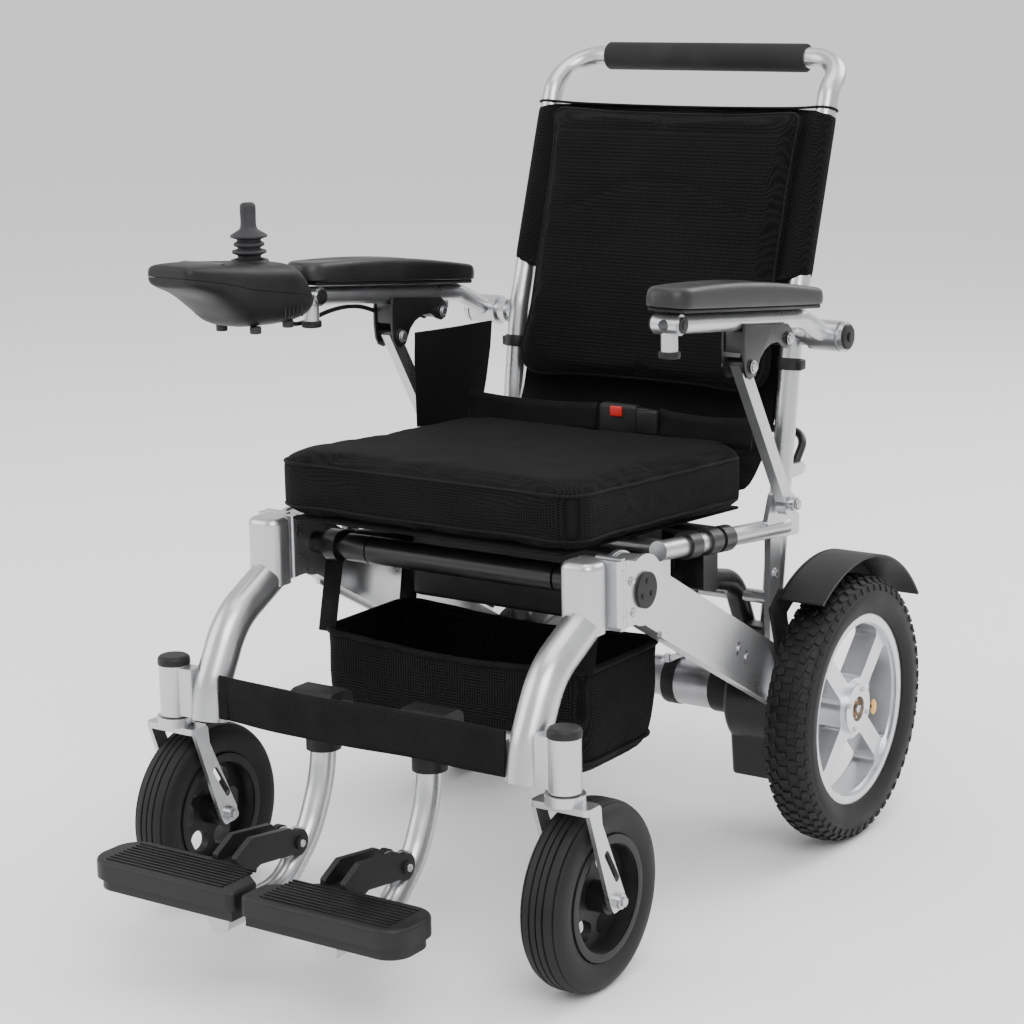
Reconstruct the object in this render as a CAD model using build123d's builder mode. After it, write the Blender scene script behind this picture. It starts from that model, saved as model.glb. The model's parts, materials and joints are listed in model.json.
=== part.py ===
"""Folding power wheelchair as an assembly of separate pieces. Millimetres, +Z up.

The chair faces -Y and its left side is +X. The origin is on the floor at the middle of the whole chair.
Side profiles are drawn as (Y from the rear axle, Z from the floor).
"""
import os

from build123d import *

# Driving dimensions: wheels and axles
axle_y = 318.5               # the rear axle's place in front-to-back
rear_wheel_r = 159.0
rear_tyre_w = 57.0
rear_wheel_x = 267.3
caster_r = 100.0
caster_tyre_w = 50.0
stem_x = 254.8
stem_y = -586.6
caster_axle_y = -543.8
spindle_r = 8.0
running_fit = 0.05

# Driving dimensions: frame
hub_y, hub_z = -401.5, 385.0          # fold hinge of the front frame
back_y, back_z = -28.0, 378.0         # fold hinge of the backrest
beam_x0, beam_x1 = 206.0, 230.0
beam_half = 31.0
leg_x = 207.0
leg_r = 20.5
upright_x = 191.0
upright_r = 12.5
rail_x = 215.5
rail_r = 11.0
crossbar_y, crossbar_z = -560.0, 250.0
footrest_x = 70.0
flip_y, flip_z = -626.0, 122.0        # hinge of the footplates

# Driving dimensions: arms and controller
arm_x = 236.0
arm_r = 11.0
arm_y, arm_z = 6.0, 598.0             # flip axis of the armrests
strut_y, strut_z = -92.0, 419.0       # lower bolt of the arm struts
hook_y, hook_z = -200.0, 592.0        # bracket pin that rests in the strut's fork
stick_y, stick_z = -455.0, 690.0      # gimbal centre of the joystick
control_x = -236.0
rocker_z = 709.0                      # pin of the speed rocker
release_y, release_z = 14.0, 438.0      # hinge of the back release bar

os.makedirs("parts", exist_ok=True)


def side(x):
    """Plane of the chair's side profiles, at x, facing the chair's left."""
    return Plane(origin=(x, axle_y, 0), x_dir=(0, 1, 0), z_dir=(1, 0, 0))


def level(z):
    """Horizontal plane at height z, with Y from the rear axle."""
    return Plane(origin=(0, axle_y, z))


def front(y):
    """Upright plane across the chair, facing forward: (X, Z)."""
    return Plane(origin=(0, axle_y + y, 0), x_dir=(1, 0, 0), z_dir=(0, -1, 0))


def at(x, y, z):
    """Point with Y from the rear axle."""
    return (x, axle_y + y, z)


def tube(points, bends, radius, wall=0.0, mode=Mode.ADD):
    """Round tube along straight runs joined by arcs, added to the part being built."""
    with BuildLine() as path:
        if len(points) > 2:
            FilletPolyline(*[at(*p) for p in points], radius=bends)
        else:
            Line(at(*points[0]), at(*points[1]))
    with BuildSketch(Plane(origin=path.line @ 0, z_dir=path.line % 0)) as section:
        Circle(radius)
        if wall:
            Circle(radius - wall, mode=Mode.SUBTRACT)
    sweep(section.sketch, path=path.line, mode=mode)


def disc(x0, x1, y, z, radius, mode=Mode.ADD):
    """Round disc or pin along X from x0 to x1."""
    with BuildSketch(side(x0)) as face:
        with Locations((y, z)):
            Circle(radius)
    extrude(face.sketch, amount=x1 - x0, mode=mode)


def post(x, y, z0, z1, radius, mode=Mode.ADD):
    """Round upright post."""
    with BuildSketch(level(z0)) as face:
        with Locations((x, y)):
            Circle(radius)
    extrude(face.sketch, amount=z1 - z0, mode=mode)


def plate(x0, x1, points, corner=0.0, mode=Mode.ADD):
    """Flat plate across X from x0 to x1 with the side outline given by its corners."""
    with BuildSketch(side(x0)) as outline:
        with BuildLine():
            Polyline(*points, close=True)
        make_face()
        if corner:
            fillet(outline.vertices(), corner)
    extrude(outline.sketch, amount=x1 - x0, mode=mode)


def slab(x0, x1, y0, y1, z0, z1, corner=0.0, mode=Mode.ADD):
    """Upright block between the given limits, with rounded upright corners."""
    with BuildSketch(level(z0)) as face:
        with Locations(((x0 + x1) / 2, (y0 + y1) / 2)):
            if corner:
                RectangleRounded(x1 - x0, y1 - y0, corner)
            else:
                Rectangle(x1 - x0, y1 - y0)
    extrude(face.sketch, amount=z1 - z0, mode=mode)


def pair():
    """Copy what has been built to the chair's other side."""
    mirror(about=Plane.YZ)


def write(part, label):
    """Label a finished piece and write its STEP file."""
    part.label = label
    export_step(part, f"parts/{label}.step")


# ------------------------------------------------------------------ fixed frame

beam_slope = (hub_z - 163.0) / -hub_y         # fall of the side beams towards the rear axle


def beam_centre(y):
    """Height of the beam's centreline."""
    return hub_z - beam_slope * (y - hub_y)


beam_rise = beam_half * (1 + beam_slope ** 2) ** 0.5

with BuildPart() as side_beams:
    rear_end = 12.0
    top = [(y, beam_centre(y) + beam_rise) for y in (hub_y + 14, rear_end)]
    bottom = [(y, beam_centre(y) - beam_rise) for y in (rear_end, hub_y - 12)]
    plate(beam_x0, beam_x1, top + bottom)
    disc(beam_x0, beam_x1, hub_y, hub_z, 36)
    lip = [(y, beam_centre(y) - beam_rise + 3) for y in (hub_y + 40, rear_end)]
    lip += [(y, beam_centre(y) - beam_rise - 4) for y in (rear_end, hub_y + 40)]
    plate(beam_x1 - 3, beam_x1 + 2.5, lip)
    disc(beam_x0, beam_x1, hub_y, hub_z, 10 + running_fit, Mode.SUBTRACT)
    disc(beam_x0, beam_x1, 0, rear_wheel_r, spindle_r, Mode.SUBTRACT)
    for slot_y, slot_drop in ((-190, 2), (-172, -2)):
        with BuildSketch(side(beam_x1 - 4)):
            with Locations((slot_y, beam_centre(slot_y) + slot_drop)):
                SlotOverall(16, 6, rotation=75)
        extrude(amount=4, mode=Mode.SUBTRACT)
    disc(beam_x1 - 4, beam_x1 - 1, -165, beam_centre(-165) - 8, 3.2)
    pair()
write(side_beams.part, "side_beams")

cross_end = 199.0
with BuildPart() as fold_cross_tube:
    disc(-cross_end, cross_end, hub_y, hub_z, 12)
    for sleeve_x0, sleeve_x1 in ((-150, -120), (-118, 128), (131, 160)):
        disc(sleeve_x0, sleeve_x1, hub_y, hub_z, 15.5)
write(fold_cross_tube.part, "fold_cross_tube")

rail_front_y, rail_rear_y = -340.0, -58.0
front_bar_y, front_bar_z = -300.0, 405.0
rear_bar_y, rear_bar_z = -74.0, 300.0
bar_r = 8.0


def rail_height(y):
    """Height of the seat rails' centreline, which falls towards the rear."""
    return 411.0 - 0.1 * (y - rail_front_y)


with BuildPart() as seat_frame:
    tube([(rail_x, rail_front_y, rail_height(rail_front_y)), (rail_x, rail_rear_y, rail_height(rail_rear_y))],
         0, rail_r)
    plate(220, 226, [(strut_y - 26, 396), (strut_y + 26, 392), (strut_y + 12, strut_z + 12),
                     (strut_y - 12, strut_z + 12)], 4)
    disc(220, 245, strut_y, strut_z, 5)
    disc(245, 249, strut_y, strut_z, 8)
    plate(206, 214, [(-86, 395), (-86, 247), (-62, 234), (-62, 392)], 3)
    plate(206, 214, [(-334, 384), (-334, 412), (-312, 410), (-312, 372)], 3)
    disc(204, 206.4, back_y, back_z, 14)
    plate(204.4, 214, [(-70, 398), (-70, 372), (back_y + 12, back_z - 13), (back_y + 12, back_z + 13)], 4)
    disc(180, 206, back_y, back_z, 6)
    pair()
    for bar_y, bar_z in ((front_bar_y, front_bar_z), (rear_bar_y, rear_bar_z)):
        disc(-207, 207, bar_y, bar_z, bar_r)
write(seat_frame.part, "seat_frame")


bent_x = 164.0
rail_clamp_wall = 4.0
lug_rivet_r = 1.5                     # rivet that holds the bent tube's end to its lug
with BuildPart() as inner_frame:
    tube([(bent_x, -384, 388), (bent_x, -84, 318), (bent_x, -36, 222.5)], 45, 13, 2.5)
    plate(150, 203.5, [(-222, 340), (-190, 333), (-190, 408), (-222, 411)], 5)
    for clamp_y in (-288, -244, -215):
        tube([(rail_x, clamp_y, rail_height(clamp_y)), (rail_x, clamp_y + 22, rail_height(clamp_y + 22))], 0,
             rail_r + rail_clamp_wall, rail_clamp_wall - 0.3)
    plate(177.6, 206, [(-92, 268), (-62, 268), (-62, 236), (-84, 248)], 3)
    plate(204, 206, [(-84, 268), (-40, 262), (-40, 224), (-84, 248)], 3)
    disc(161, 177, hub_y, hub_z, 18)
    disc(161, 177, hub_y, hub_z, 12.1, Mode.SUBTRACT)
    disc(bent_x - 13, bent_x + 13, -382, 388, lug_rivet_r)
    disc(bent_x - 16, bent_x + 16, rear_bar_y, rear_bar_z, bar_r + 0.1, Mode.SUBTRACT)
    pair()
write(inner_frame.part, "inner_frame")

cushion_front, cushion_rear, cushion_half = -483.0, -84.0, 205.0
with BuildPart() as seat_cushion:
    with BuildSketch(side(-cushion_half)) as profile:
        with BuildLine():
            Polyline((cushion_front, 437), (cushion_front, 500), (cushion_rear, 474), (cushion_rear, 416),
                     close=True)
        make_face()
        fillet(profile.vertices(), 14)
    extrude(amount=2 * cushion_half)
    for notch in (-1, 1):
        slab(notch * 193 - 15, notch * 193 + 15, -112, -60, 380, 520, 4, Mode.SUBTRACT)
write(seat_cushion.part, "seat_cushion")

with BuildPart() as seat_sling:
    plate(-176, 176, [(-470, 431), (-92, 409), (-92, 405), (-470, 427)])
write(seat_sling.part, "seat_sling")

basket_half, basket_front, basket_rear, basket_floor, basket_rim = 178.0, -428.0, -262.0, 162.0, 292.0
with BuildPart() as storage_basket:
    with BuildSketch(level(basket_floor)):
        with Locations((0, (basket_front + basket_rear) / 2)):
            RectangleRounded(2 * basket_half - 20, basket_rear - basket_front - 10, 22)
    with BuildSketch(level(basket_rim)):
        with Locations((0, (basket_front + basket_rear) / 2)):
            RectangleRounded(2 * basket_half, basket_rear - basket_front, 26)
    loft()
    offset(amount=-2.5, openings=faces().sort_by(Axis.Z)[-1])
write(storage_basket.part, "storage_basket")

with BuildPart() as drive_motors:
    disc(8, 30, 0, rear_wheel_r, 23)
    disc(30, 117, 0, rear_wheel_r, 29)
    disc(117, 136, 0, rear_wheel_r, 27)
    chamfer(edges().filter_by(GeomType.CIRCLE).group_by(Axis.X)[0], 3)
    disc(12, 22, -3, rear_wheel_r + 22, 6)
    pair()
write(drive_motors.part, "drive_motors")

with BuildPart() as gear_housings:
    with BuildSketch(side(136)) as gear_outline:
        with Locations((0, rear_wheel_r)):
            Circle(62)
        with BuildLine():
            Polyline((-48, rear_wheel_r), (-38, 66), (30, 62), (50, 100), (60, rear_wheel_r), close=True)
        make_face()
    extrude(amount=69)
    fillet(edges().group_by(Axis.X)[0], 8)
    disc(205, 206, 0, rear_wheel_r, 20)
    disc(206, 262, 0, rear_wheel_r, spindle_r)
    pair()
write(gear_housings.part, "gear_housings")

fender_r = 181.0
fender_wedge = [(0, rear_wheel_r), (190, rear_wheel_r + 140), (100, rear_wheel_r + 230),
                (-140, rear_wheel_r + 200)]
with BuildPart() as rear_fenders:
    with BuildSketch(side(238)) as arc_band:
        with Locations((0, rear_wheel_r)):
            Circle(fender_r + 3)
            Circle(fender_r, mode=Mode.SUBTRACT)
        with BuildLine(mode=Mode.PRIVATE) as wedge:
            Polyline(*fender_wedge, close=True)
        make_face(wedge.edges(), mode=Mode.INTERSECT)
    extrude(amount=54)
    with BuildSketch(side(234)):
        with Locations((0, rear_wheel_r)):
            Circle(fender_r + 3)
            Circle(fender_r - 24, mode=Mode.SUBTRACT)
        with BuildLine(mode=Mode.PRIVATE) as skirt_wedge:
            Polyline(*fender_wedge, close=True)
        make_face(skirt_wedge.edges(), mode=Mode.INTERSECT)
    extrude(amount=3)
    plate(230, 234.5, [(-120, 300), (-92, 322), (-60, 200), (-88, 196)], 4)
    pair()
write(rear_fenders.part, "rear_fenders")

with BuildPart() as battery_pack:
    slab(-150, 150, -292, -130, 306, 388, 14)
    fillet(edges().group_by(Axis.Z)[0], 6)
    slab(-60, 60, -128, -110, 340, 356, 4)
    slab(-60, -48, -131, -112, 340, 356)
    slab(48, 60, -131, -112, 340, 356)
write(battery_pack.part, "battery_pack")

belt_y = -98.0
with BuildPart() as lap_belt:
    for belt_x0, belt_x1 in ((-196, -14), (76, 196)):
        slab(belt_x0, belt_x1, belt_y - 1.5, belt_y + 1.5, 478, 514)
write(lap_belt.part, "lap_belt")

with BuildPart() as belt_buckle:
    slab(-14, 76, belt_y - 9, belt_y + 8, 477, 517, 6)
    with BuildSketch(front(belt_y - 9)):
        with Locations((31, 494)):
            RectangleRounded(26, 16, 4)
    extrude(amount=-4, mode=Mode.SUBTRACT)
write(belt_buckle.part, "belt_buckle")

# ------------------------------------------------------------------ front frame

leg_route = [(-586, 222), (-578, 262), (-545, 325), (-468, 366)]
housing_z0, housing_z1 = 222.0, 279.0
leg_pin_r = 3.0                       # cross pin in the leg's open foot
with BuildPart() as front_legs:
    tube([(leg_x, y, z) for y, z in leg_route], [60, 90], leg_r, 2.5)
    disc(leg_x - 17, leg_x + 17, -586, 229, leg_pin_r)
    slab(leg_x + 16, stem_x - 12, stem_y - 10, stem_y + 10, 224, 278, 3)
    post(stem_x, stem_y, housing_z0, housing_z1, 17)
    post(stem_x, stem_y, housing_z0, housing_z1 - 6, 8 + running_fit, Mode.SUBTRACT)
    pair()
write(front_legs.part, "front_legs")

with BuildPart() as leg_sockets:
    slab(leg_x - 22, leg_x + 21, -492, -456, 352, 428, 14)
    fillet(faces().sort_by(Axis.Z)[-1].edges(), 8)
    slab(188, 238, -456, -446, 356, 426, 3)
    slab(199, 237, -445, -438.5, 352, 424, 2)
    for bolt_x, bolt_z in ((195, 366), (195, 416), (233, 366), (233, 416)):
        with BuildSketch(front(-446)):
            with Locations((bolt_x, bolt_z)):
                RegularPolygon(4.5, 6)
        extrude(amount=-3)
    for web_x0, web_x1 in ((199.5, 205), (231, 236)):
        with BuildSketch(side(web_x0)):
            with Locations((hub_y, hub_z)):
                Circle(38)
            with BuildLine():
                Polyline((-438, 352), (-438, 424), (-418, 419), (-390, 352), close=True)
            make_face()
        extrude(amount=web_x1 - web_x0)
    disc(199.5, 236, hub_y, hub_z, 10)
    slab(203, 236, -447, -439, 350, 427, 2)
    tube([(leg_x, y, z) for y, z in leg_route], [60, 90], leg_r + 0.05, mode=Mode.SUBTRACT)
    pair()
write(leg_sockets.part, "leg_sockets")

with BuildPart() as frame_caps:
    post(stem_x, stem_y, housing_z1, housing_z1 + 10, 18)
    fillet(faces().sort_by(Axis.Z)[-1].edges(), 5)
    disc(236, 239.5, hub_y, hub_z, 19.5)
    with Locations(side(239.5)):
        with Locations((hub_y, hub_z)):
            with PolarLocations(10, 3, 90):
                Cylinder(2.6, 1.2, align=(Align.CENTER, Align.CENTER, Align.MIN))
    pair()
write(frame_caps.part, "frame_caps")

with BuildPart() as front_crossbar:
    disc(-186, 186, crossbar_y, crossbar_z, 12.5)
    for lug in (-1, 1):
        slab(lug * 182 - 4, lug * 182 + 4, -590, -560, 240, 260)
write(front_crossbar.part, "front_crossbar")

with BuildPart() as calf_strap:
    slab(-186, 186, -595, -591.5, 226, 276)
write(calf_strap.part, "calf_strap")

with BuildPart() as footrest_clamps:
    for clamp_x in (-footrest_x - 2, footrest_x + 2):
        with BuildSketch(side(clamp_x - 27)):
            with Locations((crossbar_y, crossbar_z)):
                RectangleRounded(44, 44, 12)
                Circle(12.55, mode=Mode.SUBTRACT)
        extrude(amount=54)
    for clamp_x in (-footrest_x, footrest_x):
        post(clamp_x, crossbar_y, 206, 232, 19)
        post(clamp_x, crossbar_y, 200, 237.4, 15, Mode.SUBTRACT)
write(footrest_clamps.part, "footrest_clamps")

footrest_route = [(-560, 230), (-562, 180), (-590, 120), (-640, 74), (-742, 70)]
with BuildPart() as footrest_tubes:
    for tube_x in (-footrest_x, footrest_x):
        tube([(tube_x, y, z) for y, z in footrest_route], [150, 110, 60], 14)
        disc(tube_x - 6, tube_x + 6, -608, 122, 9)
        disc(tube_x - 8.5, tube_x + 8.5, flip_y, flip_z, 13)
        disc(tube_x - 8.5, tube_x + 8.5, flip_y, flip_z, 5 + running_fit, Mode.SUBTRACT)
write(footrest_tubes.part, "footrest_tubes")

plate_in, plate_out, plate_front, plate_back = 4.0, 200.0, -796.0, -722.0
plate_top, plate_base = 130.0, 98.0
for hand, label in ((1, "footplate_left"), (-1, "footplate_right")):
    with BuildPart() as footplate:
        with BuildSketch(level(plate_base + 12)) as rim:
            with BuildLine():
                Polyline((hand * plate_in, plate_front), (hand * plate_out, plate_front),
                         (hand * plate_out, plate_back), (hand * 52, plate_back),
                         (hand * plate_in, plate_back - 34), close=True)
            make_face()
            fillet(rim.vertices().group_by(Axis.X)[0 if hand < 0 else -1], 28)
            fillet(rim.vertices().group_by(Axis.X)[-1 if hand < 0 else 0], 9)
        extrude(amount=plate_top - plate_base - 12)
        fillet(faces().sort_by(Axis.Z)[-1].edges(), 4)
        with BuildSketch(level(plate_base)) as foot:
            with BuildLine():
                Polyline((hand * (plate_in + 5), plate_front + 5), (hand * (plate_out - 5), plate_front + 5),
                         (hand * (plate_out - 5), plate_back - 5), (hand * 55, plate_back - 5),
                         (hand * (plate_in + 5), plate_back - 36), close=True)
            make_face()
            fillet(foot.vertices().group_by(Axis.X)[0 if hand < 0 else -1], 24)
        extrude(amount=14)
        for rib in range(9):
            rib_y = plate_front + 10 + 6.4 * rib
            slab(hand * 102 - 78, hand * 102 + 78, rib_y, rib_y + 2.2, plate_top - 1, plate_top + 1.2)
        arm_mid = hand * footrest_x
        for cheek in (-1, 1):
            cheek_x = arm_mid + cheek * 12.5
            plate(cheek_x - 3.5, cheek_x + 3.5,
                  [(plate_back - 6, plate_base + 6), (plate_back - 6, plate_top + 6), (-702, 150),
                   (-640, 142), (-626, 124), (-640, 112), (-690, 118)], 4)
            disc(cheek_x - 3.5, cheek_x + 3.5, flip_y, flip_z, 14.5)
        disc(arm_mid - 16, arm_mid + 16, flip_y, flip_z, 5)
        disc(arm_mid + 16, arm_mid + 19, flip_y, flip_z, 7)
        slab(arm_mid - 13, arm_mid + 13, plate_back - 10, plate_back + 30, 112, 128, 2)
    write(footplate.part, label)

# ------------------------------------------------------------------ casters

for hand, tag in ((1, "left"), (-1, "right")):
    wheel_x = hand * stem_x
    with BuildPart() as fork:
        post(wheel_x, stem_y, 210, housing_z1 - 8, 8)
        post(wheel_x, stem_y, 210, 220.5, 21)
        slab(wheel_x - 34.5, wheel_x + 34.5, stem_y - 13, stem_y + 13, 204, 211, 6)
        for cheek in (-1, 1):
            inner = wheel_x + cheek * 32 - 2.5
            plate(inner, inner + 5,
                  [(stem_y - 12, 211), (stem_y + 12, 211), (stem_y + 14, 190), (caster_axle_y + 13, 104),
                   (caster_axle_y + 8, 90), (caster_axle_y - 8, 88), (caster_axle_y - 14, 98)], 5)
            with BuildSketch(side(inner)):
                with Locations(((stem_y + caster_axle_y) / 2 + 10, 140)):
                    SlotOverall(44, 8, rotation=-58)
            extrude(amount=5, mode=Mode.SUBTRACT)
            nut_x = wheel_x + cheek * 37
            disc(nut_x - 2.5, nut_x + 2.5, caster_axle_y, caster_r, 8)
        disc(wheel_x - 35, wheel_x + 35, caster_axle_y, caster_r, 6)
    write(fork.part, f"caster_fork_{tag}")

    with BuildPart() as rim:
        disc(wheel_x - 22, wheel_x + 22, caster_axle_y, caster_r, 66)
        disc(wheel_x - 22, wheel_x - 5, caster_axle_y, caster_r, 56, Mode.SUBTRACT)
        disc(wheel_x + 5, wheel_x + 22, caster_axle_y, caster_r, 56, Mode.SUBTRACT)
        with BuildSketch(side(wheel_x - 6)):
            with Locations((caster_axle_y, caster_r)):
                with PolarLocations(38, 6):
                    SlotOverall(30, 22, rotation=90)
        extrude(amount=12, mode=Mode.SUBTRACT)
        disc(wheel_x - 26, wheel_x + 26, caster_axle_y, caster_r, 16)
        disc(wheel_x - 26, wheel_x + 26, caster_axle_y, caster_r, 6 + running_fit, Mode.SUBTRACT)
    write(rim.part, f"caster_rim_{tag}")

    with BuildPart() as tyre:
        disc(wheel_x - 25, wheel_x + 25, caster_axle_y, caster_r, caster_r)
        fillet(edges().filter_by(GeomType.CIRCLE), 20)
        disc(wheel_x - 25, wheel_x + 25, caster_axle_y, caster_r, 66, Mode.SUBTRACT)
    write(tyre.part, f"caster_tyre_{tag}")

# ------------------------------------------------------------------ rear wheels

for hand, tag in ((1, "left"), (-1, "right")):
    x0 = hand * rear_wheel_x - rear_tyre_w / 2
    x1 = hand * rear_wheel_x + rear_tyre_w / 2
    hub_face = hand * 286.0
    with BuildPart() as rim:
        disc(x0 + 9, x1 - 9, 0, rear_wheel_r, 113)
        web_in, web_out = sorted((hand * 252.0, hand * 280.0))
        disc(x0 + 9, web_in, 0, rear_wheel_r, 104, Mode.SUBTRACT)
        disc(web_out, x1 - 9, 0, rear_wheel_r, 104, Mode.SUBTRACT)
        with BuildSketch(side(web_in)) as windows:
            with Locations((0, rear_wheel_r)):
                Circle(101)
                Circle(36, mode=Mode.SUBTRACT)
                for turn in (45, 135):
                    Rectangle(220, 24, rotation=turn, mode=Mode.SUBTRACT)
            fillet(windows.vertices(), 9)
        extrude(amount=web_out - web_in, mode=Mode.SUBTRACT)
        hub_x0, hub_x1 = sorted((hand * 240.0, hub_face))
        disc(hub_x0, hub_x1, 0, rear_wheel_r, 30)
        disc(*sorted((hand * 264.0, hub_face)), 0, rear_wheel_r, 15, Mode.SUBTRACT)
        disc(*sorted((hand * 240.0, hand * 264.0)), 0, rear_wheel_r, spindle_r + running_fit, Mode.SUBTRACT)
    write(rim.part, f"wheel_rim_{tag}")

    with BuildPart() as tyre:
        disc(x0, x1, 0, rear_wheel_r, rear_wheel_r)
        fillet(edges().filter_by(GeomType.CIRCLE), 22)
        disc(x0, x1, 0, rear_wheel_r, 113, Mode.SUBTRACT)
    write(tyre.part, f"wheel_tyre_{tag}")

# ------------------------------------------------------------------ backrest

handle_y, handle_z = 140.0, 906.0
with BuildPart() as back_tube:
    tube([(0, handle_y, handle_z), (upright_x - 3, handle_y, handle_z), (upright_x, 92, 871.4),
          (upright_x, 7, 606), (upright_x, -46, 234)], [45, 35, 60], upright_r, 1.8)
    disc(186, 196, back_y, back_z, 11)
    disc(178, 204, back_y, back_z, 6 + running_fit, Mode.SUBTRACT)
    for lug_x in (178, 198):
        plate(lug_x, lug_x + 5, [(-15, 430), (-13, 446), (14, 445), (21, 438), (14, 431)], 2)
    disc(178, 203, release_y, release_z, 3)
    disc(upright_x, 206, arm_y, arm_z, 10)
    disc(206, 215, arm_y, arm_z, 14)
    disc(215, 232, arm_y, arm_z, 6)
    pair()
    for joint_z in (560, 850):
        split(bisect_by=level(joint_z), keep=Keep.BOTH)
write(back_tube.part, "back_tube")

with BuildPart() as push_grip:
    disc(-138, 138, handle_y, handle_z, 17)
    disc(-138, 138, handle_y, handle_z, upright_r, Mode.SUBTRACT)
write(push_grip.part, "push_grip")

cover_half = 204.5
with BuildPart() as back_cover:
    plate(-178, 178, [(2, 500), (26, 620), (92, 852), (99, 850), (34, 618), (9, 499)])
    plate(-178, 178, [(-50, 420), (2, 500), (9, 499), (-43, 419)])
    for hand in (-1, 1):
        sleeve_base = Plane(origin=at(hand * upright_x, 19.49, 645), x_dir=(1, 0, 0),
                            z_dir=(0, 0.3049, 0.9524))
        with BuildSketch(sleeve_base):
            RectangleRounded(2 * (cover_half - upright_x), 2 * (cover_half - upright_x) + 4, 12)
            Circle(upright_r + 0.6, mode=Mode.SUBTRACT)
        extrude(amount=214)
write(back_cover.part, "back_cover")

with BuildPart() as back_pad:
    with BuildSketch(Plane(origin=at(0, -14, 512), x_dir=(1, 0, 0), z_dir=(0, -0.958, 0.288))):
        with Locations((0, 170)):
            RectangleRounded(350, 326, 34)
    extrude(amount=30)
write(back_pad.part, "back_pad")

with BuildPart() as side_guard:
    plate(-209.5, -206.5, [(-190, 482), (-190, 596), (-24, 590), (-40, 474)], 8)
write(side_guard.part, "side_guard")

# ------------------------------------------------------------------ arms

arm_front_y, arm_front_z = -352.0, 657.0
for hand, tag in ((1, "left"), (-1, "right")):
    with BuildPart() as pivot:
        disc(*sorted((hand * 215.3, hand * 257)), arm_y, arm_z, 13)
        disc(*sorted((hand * 257, hand * 262)), arm_y, arm_z, 17)
        disc(*sorted((hand * 215.3, hand * 233)), arm_y, arm_z, 6 + running_fit, Mode.SUBTRACT)
    write(pivot.part, f"arm_pivot_{tag}")

    with BuildPart() as arm:
        tube([(hand * arm_x, arm_front_y, arm_front_z), (hand * arm_x, -62, 627),
              (hand * arm_x, arm_y, arm_z)], 40, arm_r)
        disc(hand * arm_x - 18, hand * arm_x + 18, arm_y, arm_z, 18)
        disc(hand * arm_x - 18, hand * arm_x + 18, arm_y, arm_z, 13 + running_fit, Mode.SUBTRACT)
        disc(hand * arm_x - 15, hand * arm_x + 15, arm_front_y, arm_front_z, arm_r)
        disc(hand * arm_x - 17, hand * arm_x + 17, arm_front_y, arm_front_z, 8.5)
        post(hand * arm_x, arm_front_y + 2, 628, 650, 9)
        post(hand * arm_x, arm_front_y + 2, 622, 628, 11)
        post(hand * arm_x, -92, 612, 622, 6)
        with BuildSketch(front(arm_front_y)) as receiver:
            with Locations((hand * arm_x, arm_front_z)):
                Circle(6)
        extrude(receiver.sketch, amount=12, both=True, mode=Mode.SUBTRACT)
    write(arm.part, f"arm_tube_{tag}")

    with BuildPart() as pad:
        pad_base = Plane(origin=at(hand * 238.5, -210, 652), x_dir=(1, 0, 0), z_dir=(0, 0.104, 0.9945))
        with BuildSketch(pad_base):
            RectangleRounded(53, 330, 20)
        extrude(amount=34)
        fillet(edges().group_by(Axis.Z)[-1], 10)
        tube([(hand * arm_x, arm_front_y - 30, arm_front_z + 3.1), (hand * arm_x, -62, 627),
              (hand * arm_x, arm_y, arm_z)], 40, arm_r + 0.4, mode=Mode.SUBTRACT)
        disc(hand * arm_x - 17.4, hand * arm_x + 17.4, arm_front_y, arm_front_z, arm_r + 0.4, Mode.SUBTRACT)
    write(pad.part, f"arm_pad_{tag}")

    with BuildPart() as bracket:
        lobes = [(-214, 580), (-186, 580), (-172, 598), (-140, 606), (-112, 600), (-104, 612), (-118, 630),
                 (-214, 640)]
        for cheek_x in (hand * arm_x - 11.4, hand * arm_x + 11.4):
            plate(cheek_x - 3, cheek_x + 3, lobes, 5)
            disc(cheek_x - 3, cheek_x + 3, hook_y, hook_z, 13)
        plate(hand * arm_x - 12, hand * arm_x + 12, [(-210, 621), (-130, 612), (-130, 618), (-210, 630)])
        disc(hand * arm_x - 17, hand * arm_x + 17, hook_y, hook_z, 5)
        disc(hand * arm_x - 17, hand * arm_x + 17, -117, 612, 4.5)
        tube([(hand * arm_x, arm_front_y, arm_front_z), (hand * arm_x, -62, 627)], 0, arm_r + 0.1,
             mode=Mode.SUBTRACT)
    write(bracket.part, f"arm_bracket_{tag}")

    with BuildPart() as strut:
        run = Vector(0, hook_y - strut_y, hook_z - strut_z)
        along = run.normalized()
        across = Vector(0, -along.Z, along.Y)
        with BuildSketch(side(hand * arm_x - 6)) as outline:
            with BuildLine():
                Polyline(*[(strut_y + a * along.Y + b * across.Y, strut_z + a * along.Z + b * across.Z)
                           for a, b in ((0, -9), (run.length + 9, -9), (run.length + 9, 9), (0, 9))],
                         close=True)
            make_face()
            with Locations((strut_y, strut_z)):
                Circle(13)
        extrude(outline.sketch, amount=12)
        with BuildSketch(side(hand * arm_x - 6)) as fork_mouth:
            with Locations((hook_y, hook_z)):
                Circle(5.4)
            with BuildLine():
                Polyline((hook_y - 4.5, hook_z - 3), (hook_y + 5.4, hook_z), (hook_y + 12, hook_z + 30),
                         (hook_y - 40, hook_z + 20), close=True)
            make_face()
        extrude(fork_mouth.sketch, amount=12, mode=Mode.SUBTRACT)
        disc(hand * arm_x - 6, hand * arm_x + 6, strut_y, strut_z, 5 + running_fit, Mode.SUBTRACT)
    write(strut.part, f"arm_strut_{tag}")

# ------------------------------------------------------------------ controller

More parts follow.
